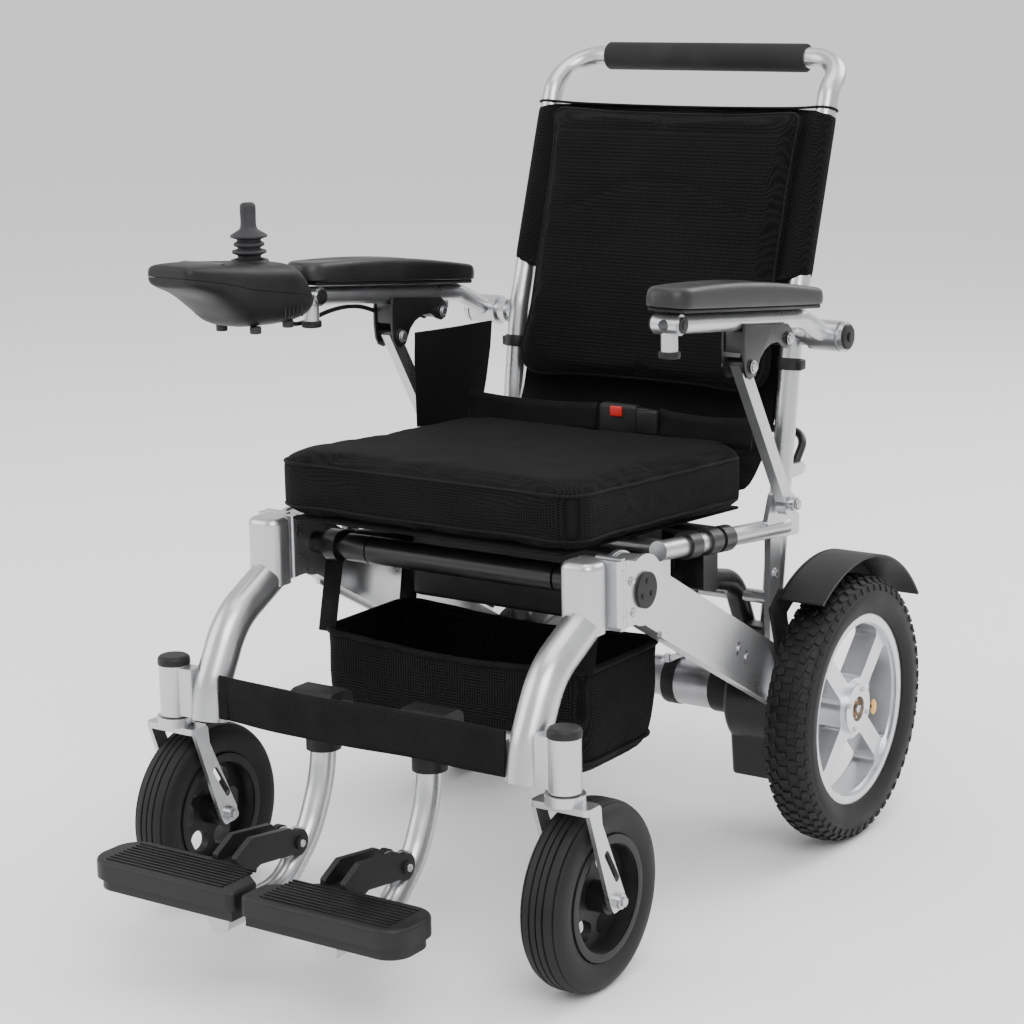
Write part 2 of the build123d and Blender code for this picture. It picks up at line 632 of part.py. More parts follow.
side_in, side_out = control_x - 43.0, control_x + 43.0
top_outline = [(-590, 706), (-578, 717), (-440, 707), (-408, 697), (-384, 664), (-480, 676), (-590, 700)]
base_outline = [(-590, 699.2), (-480, 675.2), (-384, 663.2), (-386, 646), (-410, 637), (-490, 640),
                (-520, 654), (-560, 681)]


def round_controller(half):
    """Trim the block being built to the controller's plan, which narrows towards the nose."""
    with BuildSketch(level(620)) as plan:
        with BuildLine():
            Polyline((control_x - half + 14, -590), (control_x + half - 14, -590), (control_x + half, -520),
                     (control_x + half, -400), (control_x + half - 8, -384), (control_x - half + 8, -384),
                     (control_x - half, -400), (control_x - half, -520), close=True)
        make_face()
        fillet(plan.vertices(), 6)
    extrude(plan.sketch, amount=120, mode=Mode.INTERSECT)


with BuildPart() as control_top:
    plate(side_in, side_out, top_outline)
    round_controller(43)
    post(control_x, stick_y, 650, 720, 18, Mode.SUBTRACT)
    slab(control_x - 13, control_x + 13, -560.5, -543.5, 698, 720, mode=Mode.SUBTRACT)
    with BuildSketch(front(-540)) as rocker_bore:
        with Locations((control_x, rocker_z)):
            Circle(1.6 + running_fit)
    extrude(rocker_bore.sketch, amount=24, mode=Mode.SUBTRACT)
    post(control_x - 24, -520, 700, 720, 6.2, Mode.SUBTRACT)
    post(control_x + 24, -520, 700, 720, 6.2, Mode.SUBTRACT)
write(control_top.part, "control_top")

with BuildPart() as control_base:
    plate(side_in + 1, side_out - 1, base_outline)
    round_controller(42)
    post(control_x, stick_y, 660, 720, 18, Mode.SUBTRACT)
    for foot_y in (-478, -422):
        post(control_x - 24, foot_y, 632, 642, 6)
        post(control_x + 24, foot_y, 632, 642, 6)
write(control_base.part, "control_base")

with BuildPart() as control_bar:
    with BuildSketch(front(-342)):
        with Locations((control_x, arm_front_z)):
            Circle(6 - running_fit)
    extrude(amount=30)
    slab(control_x - 9, control_x + 9, -383.5, -371, arm_front_z - 10, arm_front_z + 8, 3)
    disc(control_x - 9, control_x + 16, -377, arm_front_z - 5, 4)
write(control_bar.part, "control_bar")

with BuildPart() as stick_gimbal:
    post(control_x, stick_y, stick_z - 3, stick_z + 3, 14)
    post(control_x, stick_y, stick_z - 3, stick_z + 3, 9, Mode.SUBTRACT)
    disc(control_x - 17, control_x - 12, stick_y, stick_z, 2)
    disc(control_x + 12, control_x + 17, stick_y, stick_z, 2)
write(stick_gimbal.part, "stick_gimbal")

with BuildPart() as joystick:
    post(control_x, stick_y, stick_z - 6, 742, 4)
    with BuildSketch(front(stick_y + 8.5)) as roll_pin:
        with Locations((control_x, stick_z)):
            Circle(2)
    extrude(roll_pin.sketch, amount=17)
    for ring_z, ring_r in ((722, 17.5), (729, 17.5)):
        post(control_x, stick_y, ring_z, ring_z + 4, ring_r)
        fillet(edges().filter_by(GeomType.CIRCLE).group_by(SortBy.RADIUS)[-1], 1.8)
    with BuildSketch(level(735)) as flare_base:
        with Locations((control_x, stick_y)):
            Circle(15)
    with BuildSketch(level(746)) as flare_top:
        with Locations((control_x, stick_y)):
            Circle(8)
    loft([flare_base.sketch, flare_top.sketch])
    post(control_x, stick_y, 746, 772, 9)
    post(control_x, stick_y, 733, 735, 12)
    fillet(faces().sort_by(Axis.Z)[-1].edges(), 5)
write(joystick.part, "joystick")

for button_x, label in ((control_x - 24, "power_button"), (control_x + 24, "horn_button")):
    with BuildPart() as button:
        post(button_x, -520, 703, 713, 6)
        fillet(faces().sort_by(Axis.Z)[-1].edges(), 1.5)
    write(button.part, label)

with BuildPart() as speed_rocker:
    slab(control_x - 12, control_x + 12, -560, -544, 706, 714, 2)
    slab(control_x - 3, control_x + 3, -560, -544, 713.5, 715.5, 1)
    with BuildSketch(front(-541)) as rocker_pin:
        with Locations((control_x, rocker_z)):
            Circle(1.6)
    extrude(rocker_pin.sketch, amount=22)
write(speed_rocker.part, "speed_rocker")

# ------------------------------------------------------------------ levers

for hand, tag in ((1, "left"), (-1, "right")):
    with BuildPart() as freewheel_lever:
        post(hand * 45, 0, 188.4, 193, 7)
        slab(hand * 45 - 4, hand * 45 + 4, -34, 0, 189.5, 192.5, 3)
        post(hand * 45, -32, 189.5, 199, 4)
    write(freewheel_lever.part, f"freewheel_lever_{tag}")

    with BuildPart() as clamp_lever:
        post(hand * 176, -206, 301, 331, 6)
        slab(hand * 176 - 6, hand * 176 + 6, -206, -148, 299, 303, 4)
    write(clamp_lever.part, f"clamp_lever_{tag}")

with BuildPart() as back_release:
    tube([(-upright_x, release_y, release_z), (-upright_x, 46, 474), (upright_x, 46, 474),
          (upright_x, release_y, release_z)], 22, 5)
    for eye_x in (-upright_x, upright_x):
        disc(eye_x - 6, eye_x + 6, release_y, release_z, 7)
        disc(eye_x - 6, eye_x + 6, release_y, release_z, 3 + running_fit, Mode.SUBTRACT)
write(back_release.part, "back_release")
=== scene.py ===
"""Looks of a folding power wheelchair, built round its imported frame. Metres, +Z up, the chair faces -Y."""
import json
import logging
import math
from dataclasses import dataclass, field
from enum import Enum
from typing import Dict, List, Optional, Sequence, Tuple

import bmesh
import bpy
from mathutils import Matrix, Vector


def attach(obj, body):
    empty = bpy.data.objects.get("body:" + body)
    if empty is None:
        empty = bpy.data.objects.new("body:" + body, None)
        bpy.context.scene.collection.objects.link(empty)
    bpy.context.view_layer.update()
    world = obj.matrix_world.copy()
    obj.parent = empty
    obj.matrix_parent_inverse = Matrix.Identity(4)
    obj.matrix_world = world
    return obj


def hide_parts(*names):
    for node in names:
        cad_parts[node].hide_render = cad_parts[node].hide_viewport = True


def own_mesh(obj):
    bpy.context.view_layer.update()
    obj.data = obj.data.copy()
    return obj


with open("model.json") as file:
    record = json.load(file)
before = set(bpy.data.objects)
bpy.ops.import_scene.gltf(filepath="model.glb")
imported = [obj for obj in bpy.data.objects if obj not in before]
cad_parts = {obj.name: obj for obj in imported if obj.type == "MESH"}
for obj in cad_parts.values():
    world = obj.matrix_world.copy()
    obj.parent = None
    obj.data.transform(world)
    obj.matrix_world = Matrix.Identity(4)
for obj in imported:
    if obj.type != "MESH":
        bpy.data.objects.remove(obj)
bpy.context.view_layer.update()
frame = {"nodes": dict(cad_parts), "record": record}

MM = 0.001
AXLE_Y = 318.5 * MM
LOG = logging.getLogger("wheelchair")
Object = bpy.types.Object
Tree = bpy.types.NodeTree
Node = bpy.types.Node
Verts = List[bmesh.types.BMVert]
Pairs = Sequence[Tuple[float, float]]


def at(x: float, y: float, z: float) -> Vector:
    """A point in metres from millimetres, with y counted from the rear axle."""
    return Vector((x * MM, y * MM + AXLE_Y, z * MM))


# ---------------------------------------------------------------- node groups

class Texture(Enum):
    """The kinds of surface texture that a finish can carry."""

    GRAIN = "grain"
    WEAVE = "weave"
    RIBS = "ribs"


class Groups:
    """Shader node groups that several finishes share. They put out only values."""

    made: Dict[Texture, Tree] = {}

    @classmethod
    def of(cls, texture: Texture) -> Tree:
        """The group that draws a texture, made on first use."""
        if texture not in cls.made:
            makers = {Texture.GRAIN: cls.grain, Texture.WEAVE: cls.weave, Texture.RIBS: cls.ribs}
            cls.made[texture] = makers[texture]()
        return cls.made[texture]

    @staticmethod
    def fresh(name: str, tone: str) -> Tuple["Net", Node, Node]:
        """Make a group that takes a place and a scale, and puts out a height and one more value.

        Args:
            name: The group's name.
            tone: Name of its second output.

        Returns:
            Calls for filling it, and its input and output nodes.
        """
        tree = bpy.data.node_groups.new(name, "ShaderNodeTree")
        tree.interface.new_socket("Place", in_out="INPUT", socket_type="NodeSocketVector")
        tree.interface.new_socket("Scale", in_out="INPUT", socket_type="NodeSocketFloat")
        for key in ("Height", tone):
            tree.interface.new_socket(key, in_out="OUTPUT", socket_type="NodeSocketFloat")
        net = Net(tree)
        return net, net.add("NodeGroupInput"), net.add("NodeGroupOutput")

    @classmethod
    def weave(cls) -> Tree:
        """Staggered open cells of a spacer fabric, which read alike on a face turned any way."""
        net, source, sink = cls.fresh("spacer weave", "Tone")
        scaled = net.add("ShaderNodeVectorMath", operation="SCALE")
        net.join(source, "Place", scaled, 0)
        net.join(source, "Scale", scaled, 3)
        split = net.add("ShaderNodeSeparateXYZ")
        net.join(scaled, 0, split, 0)
        total = None
        for first, second in ((0, 1), (1, 2), (2, 0)):
            sine = net.math("SINE", (split, first))
            cosine = net.math("COSINE", (split, second))
            product = net.math("MULTIPLY", (sine, 0), (cosine, 0))
            total = product if total is None else net.math("ADD", (total, 0), (product, 0))
        height = net.add("ShaderNodeMapRange", {"From Min": -0.9, "From Max": 0.9})
        net.join(total, 0, height, 0)
        broad = net.add("ShaderNodeTexNoise", {"Scale": 14.0, "Detail": 3.0})
        net.join(source, "Place", broad, 0)
        net.join(height, 0, sink, 0)
        net.join(broad, 0, sink, 1)
        return net.tree

    @classmethod
    def grain(cls) -> Tree:
        """Fine pebbled surface of moulded plastic, vinyl or rubber, with slow handling marks."""
        net, source, sink = cls.fresh("moulded grain", "Marks")
        cells = net.add("ShaderNodeTexVoronoi")
        net.join(source, "Scale", cells, 2)
        marks = net.add("ShaderNodeTexNoise", {"Scale": 22.0, "Detail": 5.0})
        for number, pattern in enumerate((cells, marks)):
            net.join(source, "Place", pattern, 0)
            net.join(pattern, 0, sink, number)
        return net.tree

    @classmethod
    def ribs(cls) -> Tree:
        """Lengthwise yarns crossed by a tight weft, as on webbing."""
        net, source, sink = cls.fresh("webbing ribs", "Tone")
        along = net.add("ShaderNodeTexWave", {"Detail": 1.0, "Distortion": 0.6}, bands_direction="X")
        across = net.add("ShaderNodeTexWave", {"Detail": 1.0, "Distortion": 0.4}, bands_direction="Z")
        for wave in (along, across):
            net.join(source, "Place", wave, 0)
            net.join(source, "Scale", wave, 1)
        both = net.math("MULTIPLY", (along, 1), (across, 1))
        noise = net.add("ShaderNodeTexNoise", {"Scale": 30.0})
        net.join(source, "Place", noise, 0)
        net.join(both, 0, sink, 0)
        net.join(noise, 0, sink, 1)
        return net.tree


@dataclass
class Net:
    """Short calls for putting nodes and links in a node tree."""

    tree: Tree

    @staticmethod
    def preset(node: Node, values: Dict[object, object]) -> None:
        """Set a node's unlinked inputs, each by name or number."""
        for key, value in values.items():
            node.inputs[key].default_value = value

    def add(self, kind: str, values: Optional[Dict[object, object]] = None, **settings: object) -> Node:
        """Add a node of a kind, and set its inputs and its properties."""
        node = self.tree.nodes.new(kind)
        for key, value in settings.items():
            setattr(node, key, value)
        self.preset(node, values or {})
        return node

    def join(self, source: Node, output: object, target: Node, socket: object) -> None:
        """Link an output socket to an input socket, each by name or number."""
        self.tree.links.new(source.outputs[output], target.inputs[socket])

    def math(self, operation: str, *links: Tuple[Node, int], value: float = 0.0) -> Node:
        """Add a Math node fed by the given (node, output) pairs; value fills its second input if free."""
        node = self.add("ShaderNodeMath", {1: value}, operation=operation)
        for slot_number, (source, output) in enumerate(links):
            self.join(source, output, node, slot_number)
        return node

    def spread(self, source: Node, output: int, low: float, high: float) -> Node:
        """Map a 0.3 to 0.7 value onto low to high."""
        node = self.add("ShaderNodeMapRange", {"From Min": 0.3, "From Max": 0.7, "To Min": low,
                                               "To Max": high})
        self.join(source, output, node, 0)
        return node

    def blend(self, source: Node, output: int, dark: Sequence[float],
              light: Sequence[float]) -> Node:
        """Colour ramp from dark to light over a value from 0.3 to 0.7."""
        node = self.add("ShaderNodeValToRGB")
        for stop, place, colour in zip(node.color_ramp.elements, (0.3, 0.7), (dark, light)):
            stop.position = place
            stop.color = (*colour, 1.0)
        self.join(source, output, node, 0)
        return node


# ---------------------------------------------------------------- finishes

@dataclass(frozen=True)
class Finish:
    """A real surface finish, which builds its own material.

    Args:
        name: The material's name.
        slot: The record's material slot that it belongs to; not used.
        dark: Colour of the low parts, which on weave and ribs is painted shade in the cells and grooves, and
            of the worn marks on grain.
        light: Colour of the high parts, which on weave and ribs stand out against that painted shade, and of
            the clean parts of grain.
        rough: Lowest and highest roughness.
        metal: Metallic value.
        texture: Which shared pattern it uses.
        scale: The pattern's scale per metre.
        depth: Bump distance in metres.
        strength: Bump strength.
        coat: Clear coat weight.
        sheen: Sheen weight, for cloth.
        specular: Specular level.
    """

    name: str
    slot: str
    dark: Tuple[float, float, float]
    light: Tuple[float, float, float]
    rough: Tuple[float, float] = (0.5, 0.6)
    metal: float = 0.0
    texture: Texture = Texture.GRAIN
    scale: float = 900.0
    depth: float = 0.0002
    strength: float = 0.3
    coat: float = 0.0
    sheen: float = 0.0
    specular: float = 0.5

    def build(self) -> bpy.types.Material:
        """Make the material, once, and return it."""
        found = bpy.data.materials.get(self.name)
        if found:
            return found
        material = bpy.data.materials.new(self.name)
        material.use_nodes = True
        tree = material.node_tree
        net = Net(tree)
        shader = tree.nodes["Principled BSDF"]
        place = net.add("ShaderNodeTexCoord")
        group = net.add("ShaderNodeGroup", node_tree=Groups.of(self.texture))
        net.preset(group, {"Scale": self.scale})
        net.join(place, "Object", group, "Place")
        bump = net.add("ShaderNodeBump", {"Strength": self.strength, "Distance": self.depth})
        net.join(group, 0, bump, "Height")
        net.join(bump, 0, shader, "Normal")
        # On weave and ribs the colour follows the height: painted shade in the low cells and grooves, lighter
        # on the high parts. On grain it follows the random handling marks.
        tone = 0 if self.texture is not Texture.GRAIN else 1
        colour = net.blend(group, tone, self.dark, self.light)
        net.join(colour, 0, shader, "Base Color")
        rough = net.spread(group, 1, *self.rough)
        net.join(rough, 0, shader, "Roughness")
        net.preset(shader, {"Metallic": self.metal, "Specular IOR Level": self.specular,
                            "Coat Weight": self.coat, "Coat Roughness": 0.25, "Sheen Weight": self.sheen,
                            "Sheen Roughness": 0.4})
        return material


SILVER = Finish("satin silver paint", "silver", (0.50, 0.505, 0.515), (0.56, 0.565, 0.575), (0.26, 0.34), 0.9,
                scale=2600.0, depth=0.00004, strength=0.12, coat=0.25)
ALLOY = Finish("machined alloy", "alloy", (0.60, 0.61, 0.63), (0.74, 0.75, 0.77), (0.24, 0.38), 0.9,
               scale=1500.0, depth=0.00005, strength=0.15, coat=0.2)
STEEL = Finish("plated steel", "steel", (0.42, 0.42, 0.43), (0.58, 0.58, 0.6), (0.25, 0.42), 1.0,
               scale=1400.0, depth=0.00005, strength=0.15)
BLACK_FRAME = Finish("black powder coat", "black_frame", (0.005, 0.005, 0.0055), (0.011, 0.011, 0.012),
                     (0.28, 0.42), scale=2200.0, depth=0.00008, strength=0.25, coat=0.15, specular=0.4)
PLASTIC = Finish("textured black plastic", "black_plastic", (0.006, 0.006, 0.0065), (0.014, 0.014, 0.015),
                 (0.42, 0.58), scale=2400.0, depth=0.00012, strength=0.3, specular=0.3)
VINYL = Finish("grained vinyl", "pad_vinyl", (0.007, 0.007, 0.0075), (0.014, 0.014, 0.015), (0.38, 0.5),
               scale=1100.0, depth=0.0002, strength=0.28, coat=0.08, specular=0.4)
FOAM = Finish("soft grip foam", "grip_foam", (0.008, 0.008, 0.008), (0.02, 0.02, 0.021), (0.6, 0.75),
              scale=1800.0, depth=0.0002, strength=0.35, specular=0.2)
MESH = Finish("spacer mesh fabric", "mesh_fabric", (0.0012, 0.0012, 0.0014), (0.0095, 0.0095, 0.0105),
              (0.75, 0.92), texture=Texture.WEAVE, scale=2100.0, depth=0.0007, strength=0.9, sheen=0.02,
              specular=0.08)
PIPING = Finish("woven piping", "mesh_fabric", (0.002, 0.002, 0.0023), (0.009, 0.009, 0.01), (0.6, 0.8),
                texture=Texture.WEAVE, scale=2600.0, depth=0.0003, strength=0.5, sheen=0.02, specular=0.12)
CLOTH = Finish("plain black cloth", "mesh_fabric", (0.003, 0.003, 0.0035), (0.009, 0.009, 0.0095),
               (0.75, 0.9), texture=Texture.WEAVE, scale=3800.0, depth=0.0002, strength=0.4, sheen=0.02,
               specular=0.08)
NET = Finish("open net fabric", "net_fabric", (0.001, 0.001, 0.0012), (0.014, 0.014, 0.0155), (0.65, 0.85),
             texture=Texture.WEAVE, scale=1900.0, depth=0.0009, strength=1.0, specular=0.08)
WEBBING = Finish("ribbed webbing", "webbing", (0.003, 0.003, 0.0035), (0.013, 0.013, 0.014), (0.6, 0.8),
                 texture=Texture.RIBS, scale=130.0, depth=0.0004, strength=0.6, sheen=0.02, specular=0.12)
RUBBER = Finish("tyre rubber", "tyre_rubber", (0.006, 0.006, 0.0065), (0.014, 0.014, 0.0145), (0.5, 0.68),
                scale=800.0, depth=0.0002, strength=0.3, specular=0.25)
BUTTON = Finish("soft touch rubber", "button_rubber", (0.02, 0.02, 0.022), (0.04, 0.04, 0.043), (0.5, 0.62),
                scale=2200.0, depth=0.0001, strength=0.25, specular=0.25)
BATTERY = Finish("battery case plastic", "battery_case", (0.016, 0.016, 0.017), (0.03, 0.03, 0.032),
                 (0.4, 0.6), scale=1600.0, depth=0.00015, strength=0.3, specular=0.3)
RELEASE_RED = Finish("red release tab", "black_plastic", (0.45, 0.012, 0.01), (0.6, 0.02, 0.015), (0.35, 0.5),
                     scale=1800.0, depth=0.0001, strength=0.2)
BRONZE = Finish("bronze hub centre", "alloy", (0.10, 0.055, 0.02), (0.24, 0.14, 0.055), (0.3, 0.5), 0.9,
                scale=1200.0, depth=0.0001, strength=0.3)
AMBER = Finish("amber reflector", "steel", (0.75, 0.33, 0.05), (0.85, 0.42, 0.08), (0.2, 0.35),
               scale=700.0, depth=0.0001, strength=0.2, coat=0.4)

SLOT_FINISH: Dict[str, Finish] = {
    "silver": SILVER, "alloy": ALLOY, "steel": STEEL, "black_frame": BLACK_FRAME, "black_plastic": PLASTIC,
    "pad_vinyl": VINYL, "grip_foam": FOAM, "mesh_fabric": MESH, "net_fabric": NET, "webbing": WEBBING,
    "tyre_rubber": RUBBER, "button_rubber": BUTTON, "battery_case": BATTERY}


# ---------------------------------------------------------------- modelling helpers

def place_data(name: str, data: bpy.types.ID) -> Object:
    """Put a mesh, curve, lamp or camera in the scene as an object."""
    piece = bpy.data.objects.new(name, data)
    bpy.context.scene.collection.objects.link(piece)
    return piece


def wall(piece: Object, thickness: float) -> None:
    """Give a sheet its thickness, half on each side."""
    solid = piece.modifiers.new("Wall", "SOLIDIFY")
    solid.thickness = thickness
    solid.offset = 0.0


@dataclass
class Shape:
    """A mesh being built from bmesh operators, in metres, where it will stand."""

    name: str
    bm: bmesh.types.BMesh = field(default_factory=bmesh.new)

    def block(self, size: Sequence[float], place: Vector, turn: Matrix = Matrix.Identity(4),
              bevel: float = 0.0, segments: int = 3) -> Verts:
        """Add a block.

        Args:
            size: Its size along X, Y and Z.
            place: Its centre.
            turn: Its rotation.
            bevel: Radius of its rounded edges.
            segments: Steps in each rounded edge.

        Returns:
            The block's vertices.
        """
        scale = Matrix.Diagonal((*size, 1.0))
        made = bmesh.ops.create_cube(self.bm, size=1.0,
                                     matrix=Matrix.Translation(place) @ turn @ scale)["verts"]
        if not bevel:
            return made
        edges = list({e for v in made for e in v.link_edges})
        result = bmesh.ops.bevel(self.bm, geom=edges, offset=bevel, segments=segments, profile=0.5,
                                 affect="EDGES", material=-1)
        return result["verts"]

    def rod(self, start: Vector, end: Vector, radius: float, tip: float = -1.0, sides: int = 32,
            bevel: float = 0.0) -> Verts:
        """Add a round rod or cone from start to end, with rounded rims if bevel is given."""
        line = end - start
        turn = line.to_track_quat("Z", "Y").to_matrix().to_4x4()
        centre = Matrix.Translation((start + end) / 2) @ turn
        made = bmesh.ops.create_cone(self.bm, cap_ends=True, segments=sides, radius1=radius,
                                     radius2=radius if tip < 0 else tip, depth=line.length,
                                     matrix=centre)["verts"]
        if bevel:
            rims = [e for e in {e for v in made for e in v.link_edges}
                    if any(len(f.verts) > 4 for f in e.link_faces)]
            made = bmesh.ops.bevel(self.bm, geom=rims, offset=bevel, segments=3, profile=0.5, affect="EDGES",
                                   material=-1)["verts"]
        return made

    def pin(self, x0: float, x1: float, y: float, z: float, radius: float, sides: int = 32,
            bevel: float = 0.0) -> Verts:
        """Add a rod across the chair, from x0 to x1, with all sizes in millimetres."""
        return self.rod(at(x0, y, z), at(x1, y, z), radius * MM, sides=sides, bevel=bevel * MM)

    def lathe(self, outline: Pairs, centre: Vector, steps: int = 96,
              closed: bool = True) -> None:
        """Spin an outline of (distance along X, radius) pairs once round the X axis through centre."""
        verts = [self.bm.verts.new(centre + Vector((x, 0.0, r))) for x, r in outline]
        pairs = list(zip(verts, verts[1:]))
        if closed:
            pairs.append((verts[-1], verts[0]))
        edges = [self.bm.edges.new(pair) for pair in pairs]
        bmesh.ops.spin(self.bm, geom=verts + edges, cent=centre, axis=(1, 0, 0), angle=math.tau, steps=steps,
                       use_merge=True)

    def loft(self, loops: Sequence[Sequence[Vector]], closed: bool = True,
             caps: Sequence[int] = (0, -1)) -> None:
        """Skin a row of closed loops and cap the numbered ones, or skin open rows as a sheet.

        Args:
            loops: The loops or rows, in order.
            closed: Whether each one closes on itself.
            caps: Numbers of the loops that are filled.
        """
        rings = []
        for loop in loops:
            verts = [self.bm.verts.new(point) for point in loop]
            ends = verts[1:] + verts[:1] if closed else verts[1:]
            rings.append([self.bm.edges.new(pair) for pair in zip(verts, ends)])
        for low, high in zip(rings, rings[1:]):
            bmesh.ops.bridge_loops(self.bm, edges=low + high)
        for number in caps:
            bmesh.ops.contextual_create(self.bm, geom=rings[number])

    def finish(self, look: Finish, body: str, replaces: Sequence[str] = (), smooth: float = 40.0,
               subdivide: int = 0) -> Object:
        """Turn the shape into an object with its material and body.

        Args:
            look: The finish.
            body: The body that it rides on.
            replaces: CAD nodes that it stands for.
            smooth: Largest angle in degrees that shades smoothly.
            subdivide: Levels of subdivision.

        Returns:
            The finished object.
        """
        bmesh.ops.remove_doubles(self.bm, verts=self.bm.verts, dist=1e-6)
        bmesh.ops.recalc_face_normals(self.bm, faces=self.bm.faces)
        return dress(self.place(), look, body, replaces, smooth, subdivide)

    def place(self) -> Object:
        """Put the shape in the scene as a bare object."""
        mesh = bpy.data.meshes.new(self.name)
        self.bm.to_mesh(mesh)
        self.bm.free()
        return place_data(self.name, mesh)


def dress(piece: Object, look: Finish, body: str, replaces: Sequence[str] = (), smooth: float = 40.0,
          subdivide: int = 0) -> Object:
    """Give a piece its finish, shading and body, hide the CAD nodes it stands for, and report it."""
    piece.data.materials.clear()
    piece.data.materials.append(look.build())
    if subdivide:
        levels = piece.modifiers.new("Subdivision", "SUBSURF")
        levels.levels = subdivide
        levels.render_levels = subdivide
    for face in piece.data.polygons:
        face.use_smooth = True
    if smooth < 180.0 and not subdivide:
        split = piece.modifiers.new("Hard edges", "EDGE_SPLIT")
        split.split_angle = math.radians(smooth)
    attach(piece, body)
    if replaces:
        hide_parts(*replaces)
    LOG.info("%s: %d faces on %s", piece.name, len(piece.data.polygons), body)
    return piece


def pipe(name: str, points: Sequence[Vector], radius: float, look: Finish, body: str,
         cyclic: bool = False) -> Object:
    """Make a thin round line such as piping or a lead through points.

    Args:
        name: The piece's name.
        points: Where the line passes.
        radius: Its radius.
        look: Its finish.
        body: The body that it rides on.
        cyclic: Whether it closes on itself.

    Returns:
        The mesh piece.
    """
    curve = bpy.data.curves.new(name, "CURVE")
    curve.dimensions = "3D"
    curve.bevel_depth = radius
    curve.bevel_resolution = 3
    curve.use_fill_caps = not cyclic
    spline = curve.splines.new("NURBS")
    spline.points.add(len(points) - 1)
    for knot, point in zip(spline.points, points):
        knot.co = (*point, 1.0)
    spline.order_u = 3
    spline.use_endpoint_u = not cyclic
    spline.use_cyclic_u = cyclic
    spline.resolution_u = 4
    draft = place_data(name + "_line", curve)
    bpy.context.view_layer.update()
    mesh = bpy.data.meshes.new_from_object(draft.evaluated_get(bpy.context.evaluated_depsgraph_get()))
    bpy.data.objects.remove(draft)
    return dress(place_data(name, mesh), look, body)


def apply_modifiers(piece: Object) -> None:
    """Replace a piece's mesh with its evaluated one and drop its modifiers."""
    shaped = bpy.data.meshes.new_from_object(piece.evaluated_get(bpy.context.evaluated_depsgraph_get()))
    piece.modifiers.clear()
    old = piece.data
    piece.data = shaped
    bpy.data.meshes.remove(old)


def plump(piece: Object, voxel: float, pressure: float, cap: float) -> None:
    """Swell a closed mesh as foam under a sewn cover does.

    Args:
        piece: The mesh object, which is remeshed and simulated.
        voxel: Remesh size in metres.
        pressure: Cloth pressure.
        cap: Farthest that a point may move, in metres.
    """
    remesh = piece.modifiers.new("Remesh", "REMESH")
    remesh.mode = "VOXEL"
    remesh.voxel_size = voxel
    apply_modifiers(piece)
    before = [v.co.copy() for v in piece.data.vertices]
    cloth = piece.modifiers.new("Cloth", "CLOTH")
    cloth.settings.use_pressure = True
    cloth.settings.uniform_pressure_force = pressure
    cloth.settings.effector_weights.gravity = 0.0
    cloth.settings.tension_stiffness = 25.0
    cloth.settings.bending_stiffness = 2.0
    scene = bpy.context.scene
    for number in range(1, 21):
        scene.frame_set(number)
    apply_modifiers(piece)
    scene.frame_set(1)
    for vertex, start in zip(piece.data.vertices, before):
        moved = vertex.co - start
        if moved.length > cap:
            vertex.co = start + moved.normalized() * cap


def rounded_loop(half_x: float, half_y: float, corner: float, steps: int = 6,
                 upper: float = -1.0) -> List[Tuple[float, float]]:
    """Points round a rounded rectangle centred on the origin.

    Args:
        half_x: Half its width.
        half_y: Half its height.
        corner: Radius of its corners.
        steps: Steps in each corner.
        upper: Radius of its two upper corners, if it differs.

    Returns:
        The points, counterclockwise from the right.
    """
    loop: List[Tuple[float, float]] = []
    for quadrant, (sx, sy) in enumerate(((1, 1), (-1, 1), (-1, -1), (1, -1))):
        radius = upper if upper > 0 and sy > 0 else corner
        for step in range(steps + 1):
            angle = math.radians(90 * quadrant + 90 * step / steps)
            loop.append((sx * (half_x - radius) + radius * math.cos(angle),
                         sy * (half_y - radius) + radius * math.sin(angle)))
    return loop


def long_sides(loop: Pairs, spacing: float) -> List[Tuple[float, float]]:
    """Fill the straight stretches of a closed loop with evenly spaced points."""
    filled: List[Tuple[float, float]] = []
    for (x0, y0), (x1, y1) in zip(loop, list(loop[1:]) + [loop[0]]):
        cuts = max(1, round(math.hypot(x1 - x0, y1 - y0) / spacing))
        filled += [(x0 + (x1 - x0) * k / cuts, y0 + (y1 - y0) * k / cuts) for k in range(cuts)]
    return filled


def seam_on(piece: Object, name: str, points: Sequence[Vector], radius: float, look: Finish,
            body: str) -> Object:
    """Lay a closed piping line on a piece's surface, near the given points."""
    snapped = []
    for point in points:
        hit, place, normal, _ = piece.closest_point_on_mesh(point)
        snapped.append(place + normal * radius * 0.3 if hit else point)
    return pipe(name, snapped, radius, look, body, cyclic=True)


# ---------------------------------------------------------------- the carried-over frame

HARD_EDGE = math.radians(28)


def dress_cad() -> None:
    """Give each CAD node the finish of its slot and smooth shading between hard edges."""
    slots = {row["node"]: row["material_slot"] for row in frame["record"]["subparts"]}
    for name, piece in frame["nodes"].items():
        material = SLOT_FINISH[slots[name]].build()
        piece.data.materials.clear()
        piece.data.materials.append(material)
        for face in piece.data.polygons:
            face.material_index = 0
            face.use_smooth = True
        weld = piece.modifiers.new("Weld", "WELD")
        weld.merge_threshold = 1e-5
        split = piece.modifiers.new("Hard edges", "EDGE_SPLIT")
        split.split_angle = HARD_EDGE
        LOG.info("%s dressed as %s", name, material.name)


# ---------------------------------------------------------------- seat and back

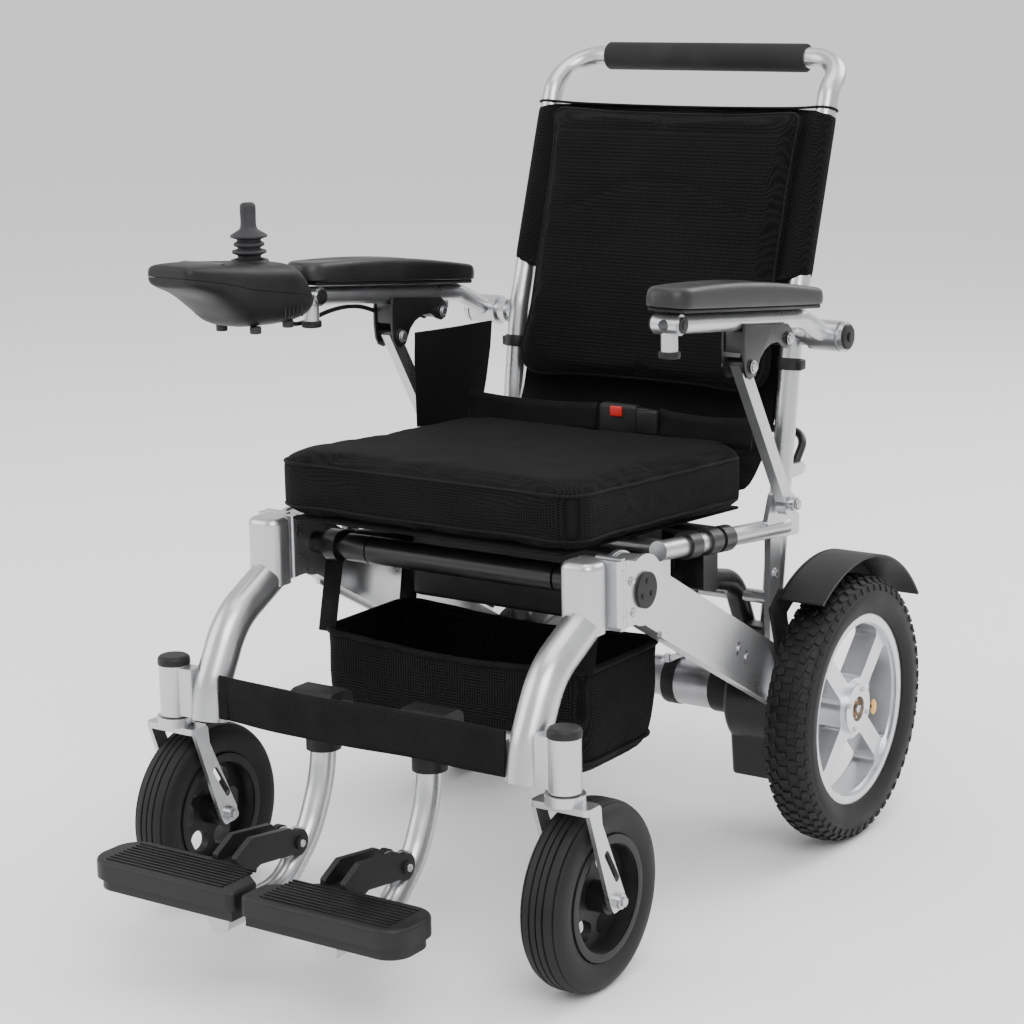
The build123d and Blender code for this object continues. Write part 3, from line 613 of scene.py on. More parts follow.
@dataclass
class SeatCushion:
    """Boxed seat cushion with crowned top, piped seams and notched rear corners."""

    half: float = 203.0
    front_y: float = -481.0
    rear_y: float = -86.0
    base: float = 437.0
    depth: float = 62.0
    fall: float = 21.0
    corner: float = 34.0

    def slope(self, y: float) -> float:
        """Drop of the cushion at y below its front edge."""
        return self.fall * (y - self.front_y) / (self.rear_y - self.front_y)

    def ring(self, z: float, inset: float) -> List[Vector]:
        """Loop round the cushion at a height above its base, with the rear corners notched."""
        mid = (self.front_y + self.rear_y) / 2
        half_y = (self.rear_y - self.front_y) / 2
        points = []
        for x, y in long_sides(rounded_loop(self.half - inset, half_y - inset, self.corner), 22.0):
            across = abs(x)
            place_y = y + mid
            if across > 172.0 and place_y > self.rear_y - 34.0:
                across = 172.0 + (across - 172.0) * 0.2
                place_y = min(place_y, self.rear_y - 10.0)
            points.append(at(math.copysign(across, x), place_y, self.base + z - self.slope(place_y)))
        return points

    def build(self) -> None:
        """Build the cushion, its two piped seams and the sewn band between them."""
        shape = Shape("seat_cushion_cover")
        sections = ((0.0, 9.0), (5.0, 1.0), (self.depth - 6, 1.0), (self.depth, 9.0))
        shape.loft([self.ring(z, inset) for z, inset in sections])
        bmesh.ops.recalc_face_normals(shape.bm, faces=shape.bm.faces)
        cushion = shape.finish(MESH, "base_frame", ["seat_cushion"], smooth=180.0)
        plump(cushion, 0.0055, 3.0, 0.007)
        dress(cushion, MESH, "base_frame", ["seat_cushion"], 180.0, 1)
        pieces = [cushion]
        for label, height in (("top", self.depth - 4.0), ("base", 4.0)):
            pieces.append(seam_on(cushion, f"cushion_seam_{label}", self.ring(height, 0.0), 1.7 * MM, PIPING,
                                  "base_frame"))
        for piece in pieces:
            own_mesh(piece)
        self.sling()

    def sling(self) -> None:
        """Cloth seat sheet laced between the seat rails, with a hemmed edge."""
        shape = Shape("seat_sling_cloth")
        turn = Matrix.Rotation(math.atan2(-22.0, 378.0), 4, "X")
        shape.block((0.352, 0.378, 0.0036), at(0, -281, 418), turn, 0.0012, 2)
        sling = shape.finish(CLOTH, "base_frame", ["seat_sling"], 60.0)
        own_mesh(sling)


@dataclass
class Backrest:
    """Mesh backrest: cover with sleeves on the uprights, padded panel, lower apron and grip."""

    sleeve_x: float = 191.0
    foot_y: float = 7.0
    foot_z: float = 606.0
    lean: Vector = field(default_factory=lambda: Vector((0.0, 0.3049, 0.9524)))

    def on_back(self, x: float, run: float, out: float) -> Vector:
        """Point at x across, run up the leaning uprights from their bend, and out in front of them."""
        forward = Vector((0.0, -self.lean.z, self.lean.y))
        return at(x, self.foot_y, self.foot_z) + self.lean * run * MM + forward * out * MM

    def cover(self) -> None:
        """Cover sheet: sleeves at the sides, a hollowed panel between them, front and back."""
        shape = Shape("back_cover_sheet")
        stations = [(46.0, 1.0), (60.0, 1.0), (110.0, 1.0), (170.0, 1.0), (225.0, 1.0), (247.0, 1.0),
                    (255.0, 0.8)]
        outline = [(-204.5, 0), (-203, 9), (-196, 14.5), (-186, 14.5), (-176, 10), (-150, 2), (-75, -4),
                   (0, -6), (75, -4), (150, 2), (176, 10), (186, 14.5), (196, 14.5), (203, 9), (204.5, 0),
                   (203, -9), (196, -14.5), (186, -14.5), (174, -13.5), (120, -15), (0, -17), (-120, -15),
                   (-174, -13.5), (-186, -14.5), (-196, -14.5), (-203, -9)]
        shape.loft([[self.on_back(x, run, out * thin) for x, out in outline] for run, thin in stations])
        sheet = shape.finish(MESH, "back_frame", ["back_cover"], subdivide=2)
        hem = [self.on_back(x, 256.0, out * 0.85) for x, out in outline]
        pipe("back_cover_hem", hem, 1.6 * MM, PIPING, "back_frame", cyclic=True)

    def panel(self) -> None:
        """Lower panel behind the pad and the apron that runs forward to the seat."""
        shape = Shape("back_lower_panel")
        columns = [x * 17.6 for x in range(-10, 11)]
        stations = [self.on_back(0, 50, -9), at(0, 20, 630), at(0, 8, 560), at(0, -3, 505), at(0, -24, 470),
                    at(0, -58, 436), at(0, -80, 424)]
        shape.loft([[spot + Vector((x * MM, 0.0018 * math.sin(x * 0.045), 0.0)) for x in columns]
                    for spot in stations], False, ())
        panel = shape.finish(CLOTH, "back_frame", smooth=180.0, subdivide=1)
        wall(panel, 2.5 * MM)
        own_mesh(panel)

    def pad(self) -> None:
        """Padded panel with piping round its front face and a top band."""
        base = at(0, -14, 512)
        up = Vector((0.0, 0.288, 0.958))
        forward = Vector((0.0, -0.958, 0.288))
        shape = Shape("back_pad_cover")

        def outline(out: float, inset: float, corner: float, top: float) -> List[Vector]:
            """Loop round the pad at a distance out from its back face."""
            loop = long_sides(rounded_loop(174.0 - inset, 170.0 - inset, corner, 6, top), 24.0)
            return [base + Vector((x * MM, 0, 0)) + up * (y + 177) * MM + forward * out * MM for x, y in loop]

        sections = ((0.0, 3.0), (4.0, 0.0), (21.0, 0.0), (27.0, 9.0))
        shape.loft([outline(out, inset, 34.0, 12.0) for out, inset in sections])
        bmesh.ops.recalc_face_normals(shape.bm, faces=shape.bm.faces)
        pad = shape.finish(MESH, "back_frame", ["back_pad"], smooth=180.0)
        plump(pad, 0.0055, 3.0, 0.009)
        self.emboss(pad, base, up)
        dress(pad, MESH, "back_frame", ["back_pad"], 180.0, 1)
        piping = seam_on(pad, "back_pad_piping", outline(23, 4.0, 32.0, 11.0), 2.0 * MM, PIPING, "back_frame")
        for piece in (pad, piping):
            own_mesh(piece)

    @staticmethod
    def emboss(pad: Object, base: Vector, up: Vector) -> None:
        """Press a shallow shoulder curve and a top band line into the pad's front face."""
        for vertex in pad.data.vertices:
            local = vertex.co - base
            height = local.dot(up) / MM
            x = local.x / MM
            shoulder = 228.0 + 26.0 * math.cos(x / 62.0)
            groove = math.exp(-((height - shoulder) / 6.0) ** 2) * (1.0 if abs(x) < 128 else 0.0)
            band = math.exp(-((height - 316.0) / 4.0) ** 2)
            vertex.co.y += (0.0016 * groove + 0.002 * band) * (1.0 if vertex.normal.y < -0.5 else 0.0)

    def grip(self) -> None:
        """Foam sleeve on the push handle, with rounded ends."""
        centre = at(0, 140, 906)
        outline = [(-0.138, 0.0127), (-0.138, 0.0158), (-0.1365, 0.017), (0.1365, 0.017), (0.138, 0.0158),
                   (0.138, 0.0127)]
        shape = Shape("push_grip_foam")
        shape.lathe(outline, centre, 48)
        shape.finish(FOAM, "back_frame", ["push_grip"])

    def guard(self) -> None:
        """Cloth side guard hanging between the right arm and the seat."""
        shape = Shape("side_guard_cloth")
        outline = [(-190, 596), (-150, 594), (-100, 592), (-60, 591), (-30, 590), (-34, 560), (-44, 520),
                   (-60, 474), (-100, 476), (-150, 479), (-190, 482), (-191, 520), (-192, 560)]
        shape.loft([[at(-208, y, z) for y, z in outline]], caps=(0,))
        bmesh.ops.inset_region(shape.bm, faces=shape.bm.faces[:], thickness=0.006, depth=0.0)
        guard = shape.finish(CLOTH, "back_frame", ["side_guard"], smooth=180.0)
        wall(guard, 2.4 * MM)
        bevel = guard.modifiers.new("Soft edge", "BEVEL")
        bevel.width = 0.8 * MM
        bevel.segments = 2
        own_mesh(guard)

    def belt(self) -> None:
        """Lap belt in two lengths of webbing with a side-release buckle."""
        for tag, x0, x1 in (("right", -196.0, -12.0), ("left", 74.0, 196.0)):
            shape = Shape(f"lap_belt_{tag}")
            arcs = [(x0 + (x1 - x0) * step / 24, math.sin(math.pi * step / 24)) for step in range(25)]
            shape.loft([[at(x, -98.0 - 5.0 * arc + (z - 496.0) * 0.12, z - 3.0 * arc) for x, arc in arcs]
                        for z in (478.0, 487.0, 496.0, 505.0, 514.0)], False, ())
            belt = shape.finish(WEBBING, "base_frame", ["lap_belt"], smooth=180.0)
            wall(belt, 2.2 * MM)
            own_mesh(belt)
        shape = Shape("buckle_shell")
        shape.block((0.052, 0.016, 0.038), at(20, -98, 497), bevel=0.005)
        shape.block((0.030, 0.012, 0.030), at(58, -98, 497), bevel=0.004)
        for z in (484.0, 510.0):
            shape.block((0.020, 0.010, 0.006), at(50, -98, z), bevel=0.002)
        shell = shape.finish(PLASTIC, "base_frame", ["belt_buckle"])
        tab = Shape("buckle_release")
        tab.block((0.016, 0.004, 0.012), at(20, -107, 508), bevel=0.0015)
        pieces = [shell, tab.finish(RELEASE_RED, "base_frame")]
        for piece in pieces:
            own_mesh(piece)

    def build(self) -> None:
        """Build every soft part of the back."""
        self.cover()
        self.panel()
        self.pad()
        self.grip()
        self.guard()
        self.belt()


# ---------------------------------------------------------------- wheels

@dataclass
class RearWheel:
    """Knobby tyre, hub centre and small reflector of one driven wheel."""

    tag: str
    hand: int
    centre_x: float = 267.3
    radius: float = 159.0
    half: float = 28.5
    pitches: int = 56

    def spot(self, x: float, radius: float, angle: float) -> Vector:
        """Point at x from the wheel's middle, at a radius and angle round the axle."""
        return at(self.hand * (self.centre_x + x), radius * math.sin(angle),
                  self.radius + radius * math.cos(angle))

    def carcass(self) -> Object:
        """Tyre body with rounded shoulders and a moulded line on each side wall."""
        side = [(18.0, 113.2), (22.0, 114.0), (25.5, 119.0), (27.6, 128.0), (28.3, 136.0), (27.7, 137.0),
                (27.6, 139.0), (26.6, 145.0), (23.0, 150.5), (16.0, 154.2), (8.0, 155.8), (0.0, 156.2)]
        outline = [(x * MM, r * MM) for x, r in side] + [(-x * MM, r * MM) for x, r in reversed(side[:-1])]
        shape = Shape(f"rear_tyre_body_{self.tag}")
        shape.lathe(outline, self.spot(0, 0, 0), 112)
        return shape.finish(RUBBER, f"drive_wheel_{self.tag}", [f"wheel_tyre_{self.tag}"])

    def tread(self) -> Object:
        """Staggered centre, shoulder and side blocks."""
        shape = Shape(f"rear_tyre_tread_{self.tag}")
        rows = ((0.0, 157.0, (11.0, 8.6, 3.4), 0.0, 0.0, 0.0),
                (-11.5, 156.0, (8.6, 9.4, 3.4), 0.5, -8.0, 18.0),
                (11.5, 156.0, (8.6, 9.4, 3.4), 0.5, 8.0, -18.0),
                (-20.6, 152.6, (7.6, 9.8, 3.4), 0.0, -31.0, 10.0),
                (20.6, 152.6, (7.6, 9.8, 3.4), 0.0, 31.0, -10.0),
                (-26.4, 145.6, (7.4, 7.0, 2.6), 0.5, -66.0, 0.0),
                (26.4, 145.6, (7.4, 7.0, 2.6), 0.5, 66.0, 0.0))
        for x, radius, size, stagger, lean, skew in rows:
            for step in range(self.pitches):
                angle = math.tau * (step + stagger) / self.pitches
                turn = (Matrix.Rotation(-angle, 4, "X") @ Matrix.Rotation(math.radians(lean * self.hand), 4,
                                                                          "Y")
                        @ Matrix.Rotation(math.radians(skew * self.hand), 4, "Z"))
                shape.block([s * MM for s in size], self.spot(x, radius, angle), turn, 0.7 * MM, 1)
        return shape.finish(RUBBER, f"drive_wheel_{self.tag}")

    def hub(self) -> None:
        """Bronze centre with screws, axle bolt, rim lips and the oval reflector."""
        body = f"drive_wheel_{self.tag}"
        face = 286.0 - self.centre_x
        shape = Shape(f"hub_centre_{self.tag}")
        shape.rod(self.spot(-1.0, 0, 0), self.spot(face - 3.5, 0, 0), 14.8 * MM, bevel=1.0 * MM)
        shape.finish(BRONZE, body)
        shape = Shape(f"hub_screws_{self.tag}")
        shape.rod(self.spot(face - 4, 0, 0), self.spot(face + 0.5, 0, 0), 5.0 * MM, sides=6, bevel=0.6 * MM)
        for step in range(4):
            angle = math.tau * step / 4
            shape.rod(self.spot(face - 4, 10.4, angle), self.spot(face - 2.2, 10.4, angle), 1.7 * MM,
                      bevel=0.4 * MM)
            mid = angle + math.radians(22.0)
            shape.rod(self.spot(face - 0.4, 24.0, mid), self.spot(face + 1.8, 24.0, mid), 3.4 * MM,
                      bevel=0.8 * MM)
        shape.finish(STEEL, body)
        shape = Shape(f"rim_lips_{self.tag}")
        for x in (face - 0.3, -face + 0.3):
            ring = [(-1.4, 103.4), (-1.4, 112.6), (1.2, 113.4), (1.8, 111.5), (1.2, 104.8), (0.0, 103.0)]
            sign = 1 if x * self.hand > 0 else -1
            shape.lathe([(px * MM * sign, r * MM) for px, r in ring], self.spot(x, 0, 0), 112)
        shape.finish(ALLOY, body)
        shape = Shape(f"reflector_{self.tag}")
        place = self.spot(face - 3.0, 47.0, math.radians(102.0))
        bmesh.ops.create_uvsphere(shape.bm, u_segments=24, v_segments=12, radius=1.0,
                                  matrix=Matrix.Translation(place) @ Matrix.Diagonal((3 * MM, 6 * MM,
                                                                                      9.5 * MM, 1)))
        shape.finish(AMBER, body)
        shape = Shape(f"reflector_clip_{self.tag}")
        shape.rod(self.spot(face - 5.0, 30.0, math.radians(98.0)),
                  self.spot(face - 4.5, 46.0, math.radians(102.0)), 2.6 * MM, bevel=0.5 * MM)
        shape.finish(PLASTIC, body)

    def build(self) -> None:
        """Build the wheel's pieces."""
        self.carcass()
        self.tread()
        self.hub()


@dataclass
class Caster:
    """Ribbed tyre and bolts of one front caster."""

    tag: str
    hand: int
    centre_x: float = 254.8
    axle_y: float = -543.8
    radius: float = 100.0

    def spot(self, x: float) -> Vector:
        """Point on the axle at x outward from the wheel's middle."""
        return at(self.hand * (self.centre_x + x), self.axle_y, self.radius)

    def build(self) -> None:
        """Build the tyre with its three grooves, the bead lines and the axle bolts."""
        side = [(17.0, 66.2), (21.5, 67.0), (23.6, 72.0), (24.8, 79.0), (24.9, 84.0), (24.0, 89.5),
                (21.8, 94.0), (19.0, 96.6), (18.0, 95.3), (17.0, 97.6), (13.0, 99.2), (9.0, 99.75),
                (8.2, 97.6), (7.4, 97.6), (6.6, 99.9), (0.9, 99.95), (0.7, 97.9)]
        outline = [(x * MM, r * MM) for x, r in side] + [(-x * MM, r * MM) for x, r in reversed(side)]
        shape = Shape(f"caster_tyre_body_{self.tag}")
        shape.lathe(outline, self.spot(0), 96)
        shape.finish(RUBBER, f"caster_wheel_{self.tag}", [f"caster_tyre_{self.tag}"])
        shape = Shape(f"caster_bead_{self.tag}")
        for x in (22.4, -22.4):
            ring = [(-1.2, 57.5), (1.2, 57.0), (1.6, 60.0), (1.0, 65.8), (-1.2, 66.0)]
            shape.lathe([(px * MM, r * MM) for px, r in ring], self.spot(x), 96)
        shape.finish(PLASTIC, f"caster_wheel_{self.tag}")
        shape = Shape(f"caster_bolts_{self.tag}")
        for side_sign in (-1, 1):
            shape.rod(self.spot(side_sign * 39.0), self.spot(side_sign * 40.2), 6.6 * MM, bevel=0.4 * MM)
            shape.rod(self.spot(side_sign * 40.0), self.spot(side_sign * 43.6), 5.4 * MM, sides=6,
                      bevel=0.7 * MM)
        shape.finish(STEEL, f"caster_{self.tag}")


# ---------------------------------------------------------------- controller

PARTING = 0.25


@dataclass
class Controller:
    """Joystick controller: two moulded shells, bellows boot, knob, small panel and its lead."""

    x: float = -236.0
    stick_y: float = -455.0
    stations: Tuple[Tuple[float, float, float, float, float], ...] = ((-590.5, 22.0, 711.5, 704.5, 698.0),
                                                                      (-589.0, 28.0, 715.6, 704.2, 694.0),
                                                                      (-580.0, 34.0, 717.4, 702.6, 690.0),
                                                                      (-552.0, 40.0, 716.4, 697.0, 678.0),
                                                                      (-522.0, 43.0, 714.0, 690.0, 657.0),
                                                                      (-500.0, 43.4, 712.0, 684.0, 642.0),
                                                                      (-455.0, 43.4, 707.6, 676.0, 637.5),
                                                                      (-425.0, 43.0, 704.2, 671.0, 637.0),
                                                                      (-408.0, 41.0, 694.0, 668.0, 638.0),
                                                                      (-395.0, 37.0, 678.0, 662.0, 641.0),
                                                                      (-386.0, 32.0, 666.0, 657.5, 647.0))

    def between(self) -> List[Tuple[float, ...]]:
        """Stations with four smooth steps between each pair."""
        ends = [self.stations[0], *self.stations, self.stations[-1]]
        rows: List[Tuple[float, ...]] = []
        for a, b, c, d in zip(ends, ends[1:], ends[2:], ends[3:]):
            for t in (0.0, 0.25, 0.5, 0.75):
                rows.append(tuple(0.5 * (2 * q + (r - p) * t + (2 * p - 5 * q + 4 * r - o) * t ** 2
                                         + (3 * q - p - 3 * r + o) * t ** 3) for p, q, r,
                                  o in zip(a, b, c, d)))
        return rows + [self.stations[-1]]

    def ring(self, y: float, half: float, low: float, high: float, upper: bool) -> List[Vector]:
        """One cross-section of a shell: round on its outer side, flat along the parting."""
        points = []
        for step in range(41):
            angle = math.pi * step / 40
            across = math.copysign(abs(math.cos(angle)) ** (0.5 if upper else 0.62), math.cos(angle))
            rise = math.sin(angle) ** (0.46 if upper else 0.72)
            z = low + (high - low) * rise if upper else high - (high - low) * rise
            points.append(at(self.x + half * across, y, z))
        return points

    def shell(self, name: str, upper: bool, replaced: str) -> Object:
        """Loft one shell along the stations."""
        shape = Shape(name)
        loops = []
        for y, half, top, part, base in self.between():
            low, high = (part + PARTING, top) if upper else (base, part - PARTING)
            loops.append(self.ring(y, half, low, high, upper))
        shape.loft(loops)
        return shape.finish(PLASTIC, "controller", [replaced], 50.0)

    def spin_up(self, name: str, outline: Pairs, look: Finish, body: str,
                replaces: Sequence[str] = ()) -> Object:
        """Spin (radius, height) pairs about the joystick's upright axis."""
        shape = Shape(name)
        shape.loft([[at(self.x + r, self.stick_y, z) for r, z in outline]], False, ())
        bmesh.ops.spin(shape.bm, geom=shape.bm.verts[:] + shape.bm.edges[:], cent=at(self.x, self.stick_y, 0),
                       axis=(0, 0, 1), angle=math.tau, steps=48, use_merge=True)
        return shape.finish(look, body, replaces, 50.0)

    def stick(self) -> None:
        """Knob, flared skirt and bellows rings, and the seat round the boot."""
        outline = [(0.0, 772.0), (5.4, 772.0), (7.8, 770.6), (8.7, 768.0), (8.8, 762.0), (8.5, 752.0),
                   (8.8, 746.0), (10.5, 742.5), (19.5, 737.2), (20.6, 735.8), (20.2, 734.4), (13.4, 732.0),
                   (13.0, 730.2), (16.4, 728.0), (17.1, 726.4), (16.6, 725.0), (12.6, 723.0), (12.4, 721.6),
                   (18.4, 720.0), (19.3, 718.4), (18.6, 716.8), (13.0, 714.6), (12.6, 710.0), (0.0, 709.0)]
        self.spin_up("joystick_boot", outline, BUTTON, "stick", ["joystick"])
        seat = [(15.4, 706.0), (15.4, 709.4), (17.0, 710.6), (20.4, 709.6), (22.6, 706.0), (15.4, 706.0)]
        self.spin_up("boot_seat", seat, PLASTIC, "controller")

    def details(self) -> None:
        """Panel strip, side grooves, rear clamp, bar collar and feet."""
        strip = Shape("panel_strip")
        strip.block((0.058, 0.011, 0.0014), at(self.x, -536, 714.1),
                    Matrix.Rotation(math.radians(4.3), 4, "X"), 0.0006, 2)
        strip.finish(BLACK_FRAME, "controller")
        vents = Shape("rear_vents")
        for hand in (-1, 1):
            for step in range(5):
                vents.block((0.0016, 0.003, 0.014), at(self.x + hand * 41.0, -446 + 7 * step, 652),
                            bevel=0.0006)
        vents.finish(BLACK_FRAME, "controller")
        feet = Shape("controller_feet")
        for y in (-478, -422):
            for x in (-24, 24):
                feet.rod(at(self.x + x, y, 632), at(self.x + x, y, 640), 6.4 * MM, bevel=1.2 * MM)
        feet.finish(BUTTON, "controller")
        clamp = Shape("controller_clamp")
        clamp.block((0.026, 0.016, 0.030), at(self.x, -384, 654), bevel=0.004)
        clamp.pin(self.x - 13, self.x - 24, -377, 650, 6.0, bevel=1.0)
        clamp.rod(at(self.x, -378, 657), at(self.x, -366, 657), 9.0 * MM, bevel=1.0 * MM)
        clamp.finish(PLASTIC, "controller")

    def lead(self) -> None:
        """Cable from the controller's underside along the right arm to its bracket."""
        points = [at(-240, -398, 645), at(-246, -384, 633), at(-250, -364, 624), at(-251, -335, 626),
                  at(-250, -300, 633), at(-249.5, -262, 634), at(-250, -228, 628), at(-250, -206, 619)]
        pipe("controller_lead", points, 2.6 * MM, RUBBER, "arm_right")

    def build(self) -> None:
        """Build every piece of the controller."""
        self.shell("controller_upper_shell", True, "control_top")
        self.shell("controller_lower_shell", False, "control_base")
        self.stick()
        self.details()
        self.lead()


# ---------------------------------------------------------------- arms

@dataclass
class Arm:
    """Soft arm pad, bracket bolts and end plugs of one arm."""

    tag: str
    hand: int

    def pad(self) -> None:
        """Moulded pad with a crowned top and a thin lip round its base."""
        shape = Shape(f"arm_pad_foam_{self.tag}")
        axis = Vector((0.0, 0.9945, -0.104))
        normal = Vector((0.0, 0.104, 0.9945))
        centre = at(self.hand * 238.5, -210, 652)
        loops = []
        for rise, inset in ((7.0, 2.2), (8.0, 0.5), (15.0, 0.0), (27.0, 0.6), (33.0, 3.6), (35.0, 10.0)):
            loop = []
            for x, y in long_sides(rounded_loop(26.5 - inset, 165.0 - inset, 21.0 - inset * 0.6), 14.0):
                crown = math.cos(math.pi * (y + 20.0) / 420.0)
                lift = rise - (1.0 - crown) * (rise - 8.0) * 0.42
                loop.append(centre + Vector((x * MM, 0, 0)) + axis * y * MM + normal * lift * MM)
            loops.append(loop)
        shape.loft(loops)
        pad = shape.finish(VINYL, f"arm_{self.tag}", [f"arm_pad_{self.tag}"], 180.0, 2)
        base = Shape(f"arm_pad_base_{self.tag}")
        base.block((0.045, 0.306, 0.005), centre + normal * 5.2 * MM,
                   Matrix.Rotation(math.radians(-5.97), 4, "X"), 0.0024, 3)
        base.finish(PLASTIC, f"arm_{self.tag}")

    def bracket(self) -> None:
        """Black bracket with two lobed cheeks that curve between the strut's pin and the arm's rear pin."""
        outline = [(-214, 640), (-216, 624), (-216, 606), (-214, 590), (-209, 581), (-200, 577.5),
                   (-190, 581), (-185, 589), (-180, 598), (-170, 606), (-155, 611), (-139, 611),
                   (-127, 604), (-116, 600.4), (-107, 603.5), (-103.5, 612), (-106, 621), (-116, 628.4),
                   (-150, 632), (-185, 636)]
        shape = Shape(f"arm_bracket_shell_{self.tag}")
        for sign in (-1, 1):
            inner = self.hand * 236 + sign * 11.3
            verts = [shape.bm.verts.new(at(inner, y, z)) for y, z in outline]
            loop = [shape.bm.edges.new((a, b)) for a, b in zip(verts, verts[1:] + verts[:1])]
            face = bmesh.ops.contextual_create(shape.bm, geom=loop)["faces"]
            cheek = bmesh.ops.extrude_face_region(shape.bm, geom=face)["geom"]
            moved = [v for v in cheek if isinstance(v, bmesh.types.BMVert)]
            bmesh.ops.translate(shape.bm, verts=moved, vec=(sign * 3.1 * MM, 0, 0))
            rim = [e for e in cheek if isinstance(e, bmesh.types.BMEdge)]
            bmesh.ops.bevel(shape.bm, geom=rim, offset=1.0 * MM, segments=3, profile=0.5, affect="EDGES",
                            material=-1)
        centre = self.hand * 236
        shape.block((0.0226, 0.078, 0.007), at(centre, -171, 620.4), Matrix.Rotation(-0.1125, 4, "X"),
                    0.001, 2)
        shape.block((0.0226, 0.005, 0.024), at(centre, -211.5, 620), bevel=0.001, segments=2)
        for y, z in ((-200, 592), (-117, 612)):
            shape.pin(centre - 15.4, centre + 15.4, y, z, 8.6, bevel=0.8)
        shape.finish(BLACK_FRAME, f"arm_{self.tag}", [f"arm_bracket_{self.tag}"], 35.0)

    def hardware(self) -> None:
        """Bolts through the bracket, strut and pivot, and the plug in the arm's end."""
        bolts = Shape(f"arm_bolts_{self.tag}")
        for y, z, size in ((-200, 592, 5.4), (-117, 612, 5.0)):
            for sign in (-1, 1):
                start = 236 + sign * 16.6
                bolts.rod(at(self.hand * start, y, z), at(self.hand * (start + sign * 1.2), y, z),
                          size * 1.35 * MM, bevel=0.4 * MM)
                bolts.rod(at(self.hand * (start + sign), y, z), at(self.hand * (start + sign * 3.4), y, z),
                          size * MM, bevel=1.0 * MM)
        bolts.finish(STEEL, f"arm_{self.tag}")
        lower = Shape(f"strut_bolt_{self.tag}")
        lower.pin(self.hand * 248.6, self.hand * 250.0, -92, 419, 8.6, bevel=0.5)
        lower.pin(self.hand * 250.0, self.hand * 254.0, -92, 419, 6.0, sides=6, bevel=0.8)
        lower.finish(STEEL, "base_frame")
        plug = Shape(f"pivot_plug_{self.tag}")
        plug.pin(self.hand * 261.6, self.hand * 265.0, 6, 598, 14.5, bevel=1.6)
        plug.pin(self.hand * 265.0, self.hand * 267.2, 6, 598, 5.5, sides=6, bevel=0.6)
        plug.finish(PLASTIC, f"arm_carrier_{self.tag}")
        end = Shape(f"arm_end_plug_{self.tag}")
        for sign in (-1, 1):
            middle, out = self.hand * 236, self.hand * sign
            end.pin(middle + out * 16.8, middle + out * 19.0, -352, 657, 8.8, bevel=0.8)
            end.pin(middle + out * 18.8, middle + out * 20.0, -352, 657, 4.6, sides=6, bevel=0.4)
        end.finish(PLASTIC, f"arm_{self.tag}")
        knob = Shape(f"arm_knob_{self.tag}")
        knob.rod(at(self.hand * 236, -350, 621), at(self.hand * 236, -350, 628.5), 11.6 * MM, bevel=1.6 * MM)
        knob.finish(PLASTIC, f"arm_{self.tag}")

    def build(self) -> None:
        """Build the arm's pieces."""
        self.bracket()
        self.pad()
        self.hardware()


# ---------------------------------------------------------------- basket and strap

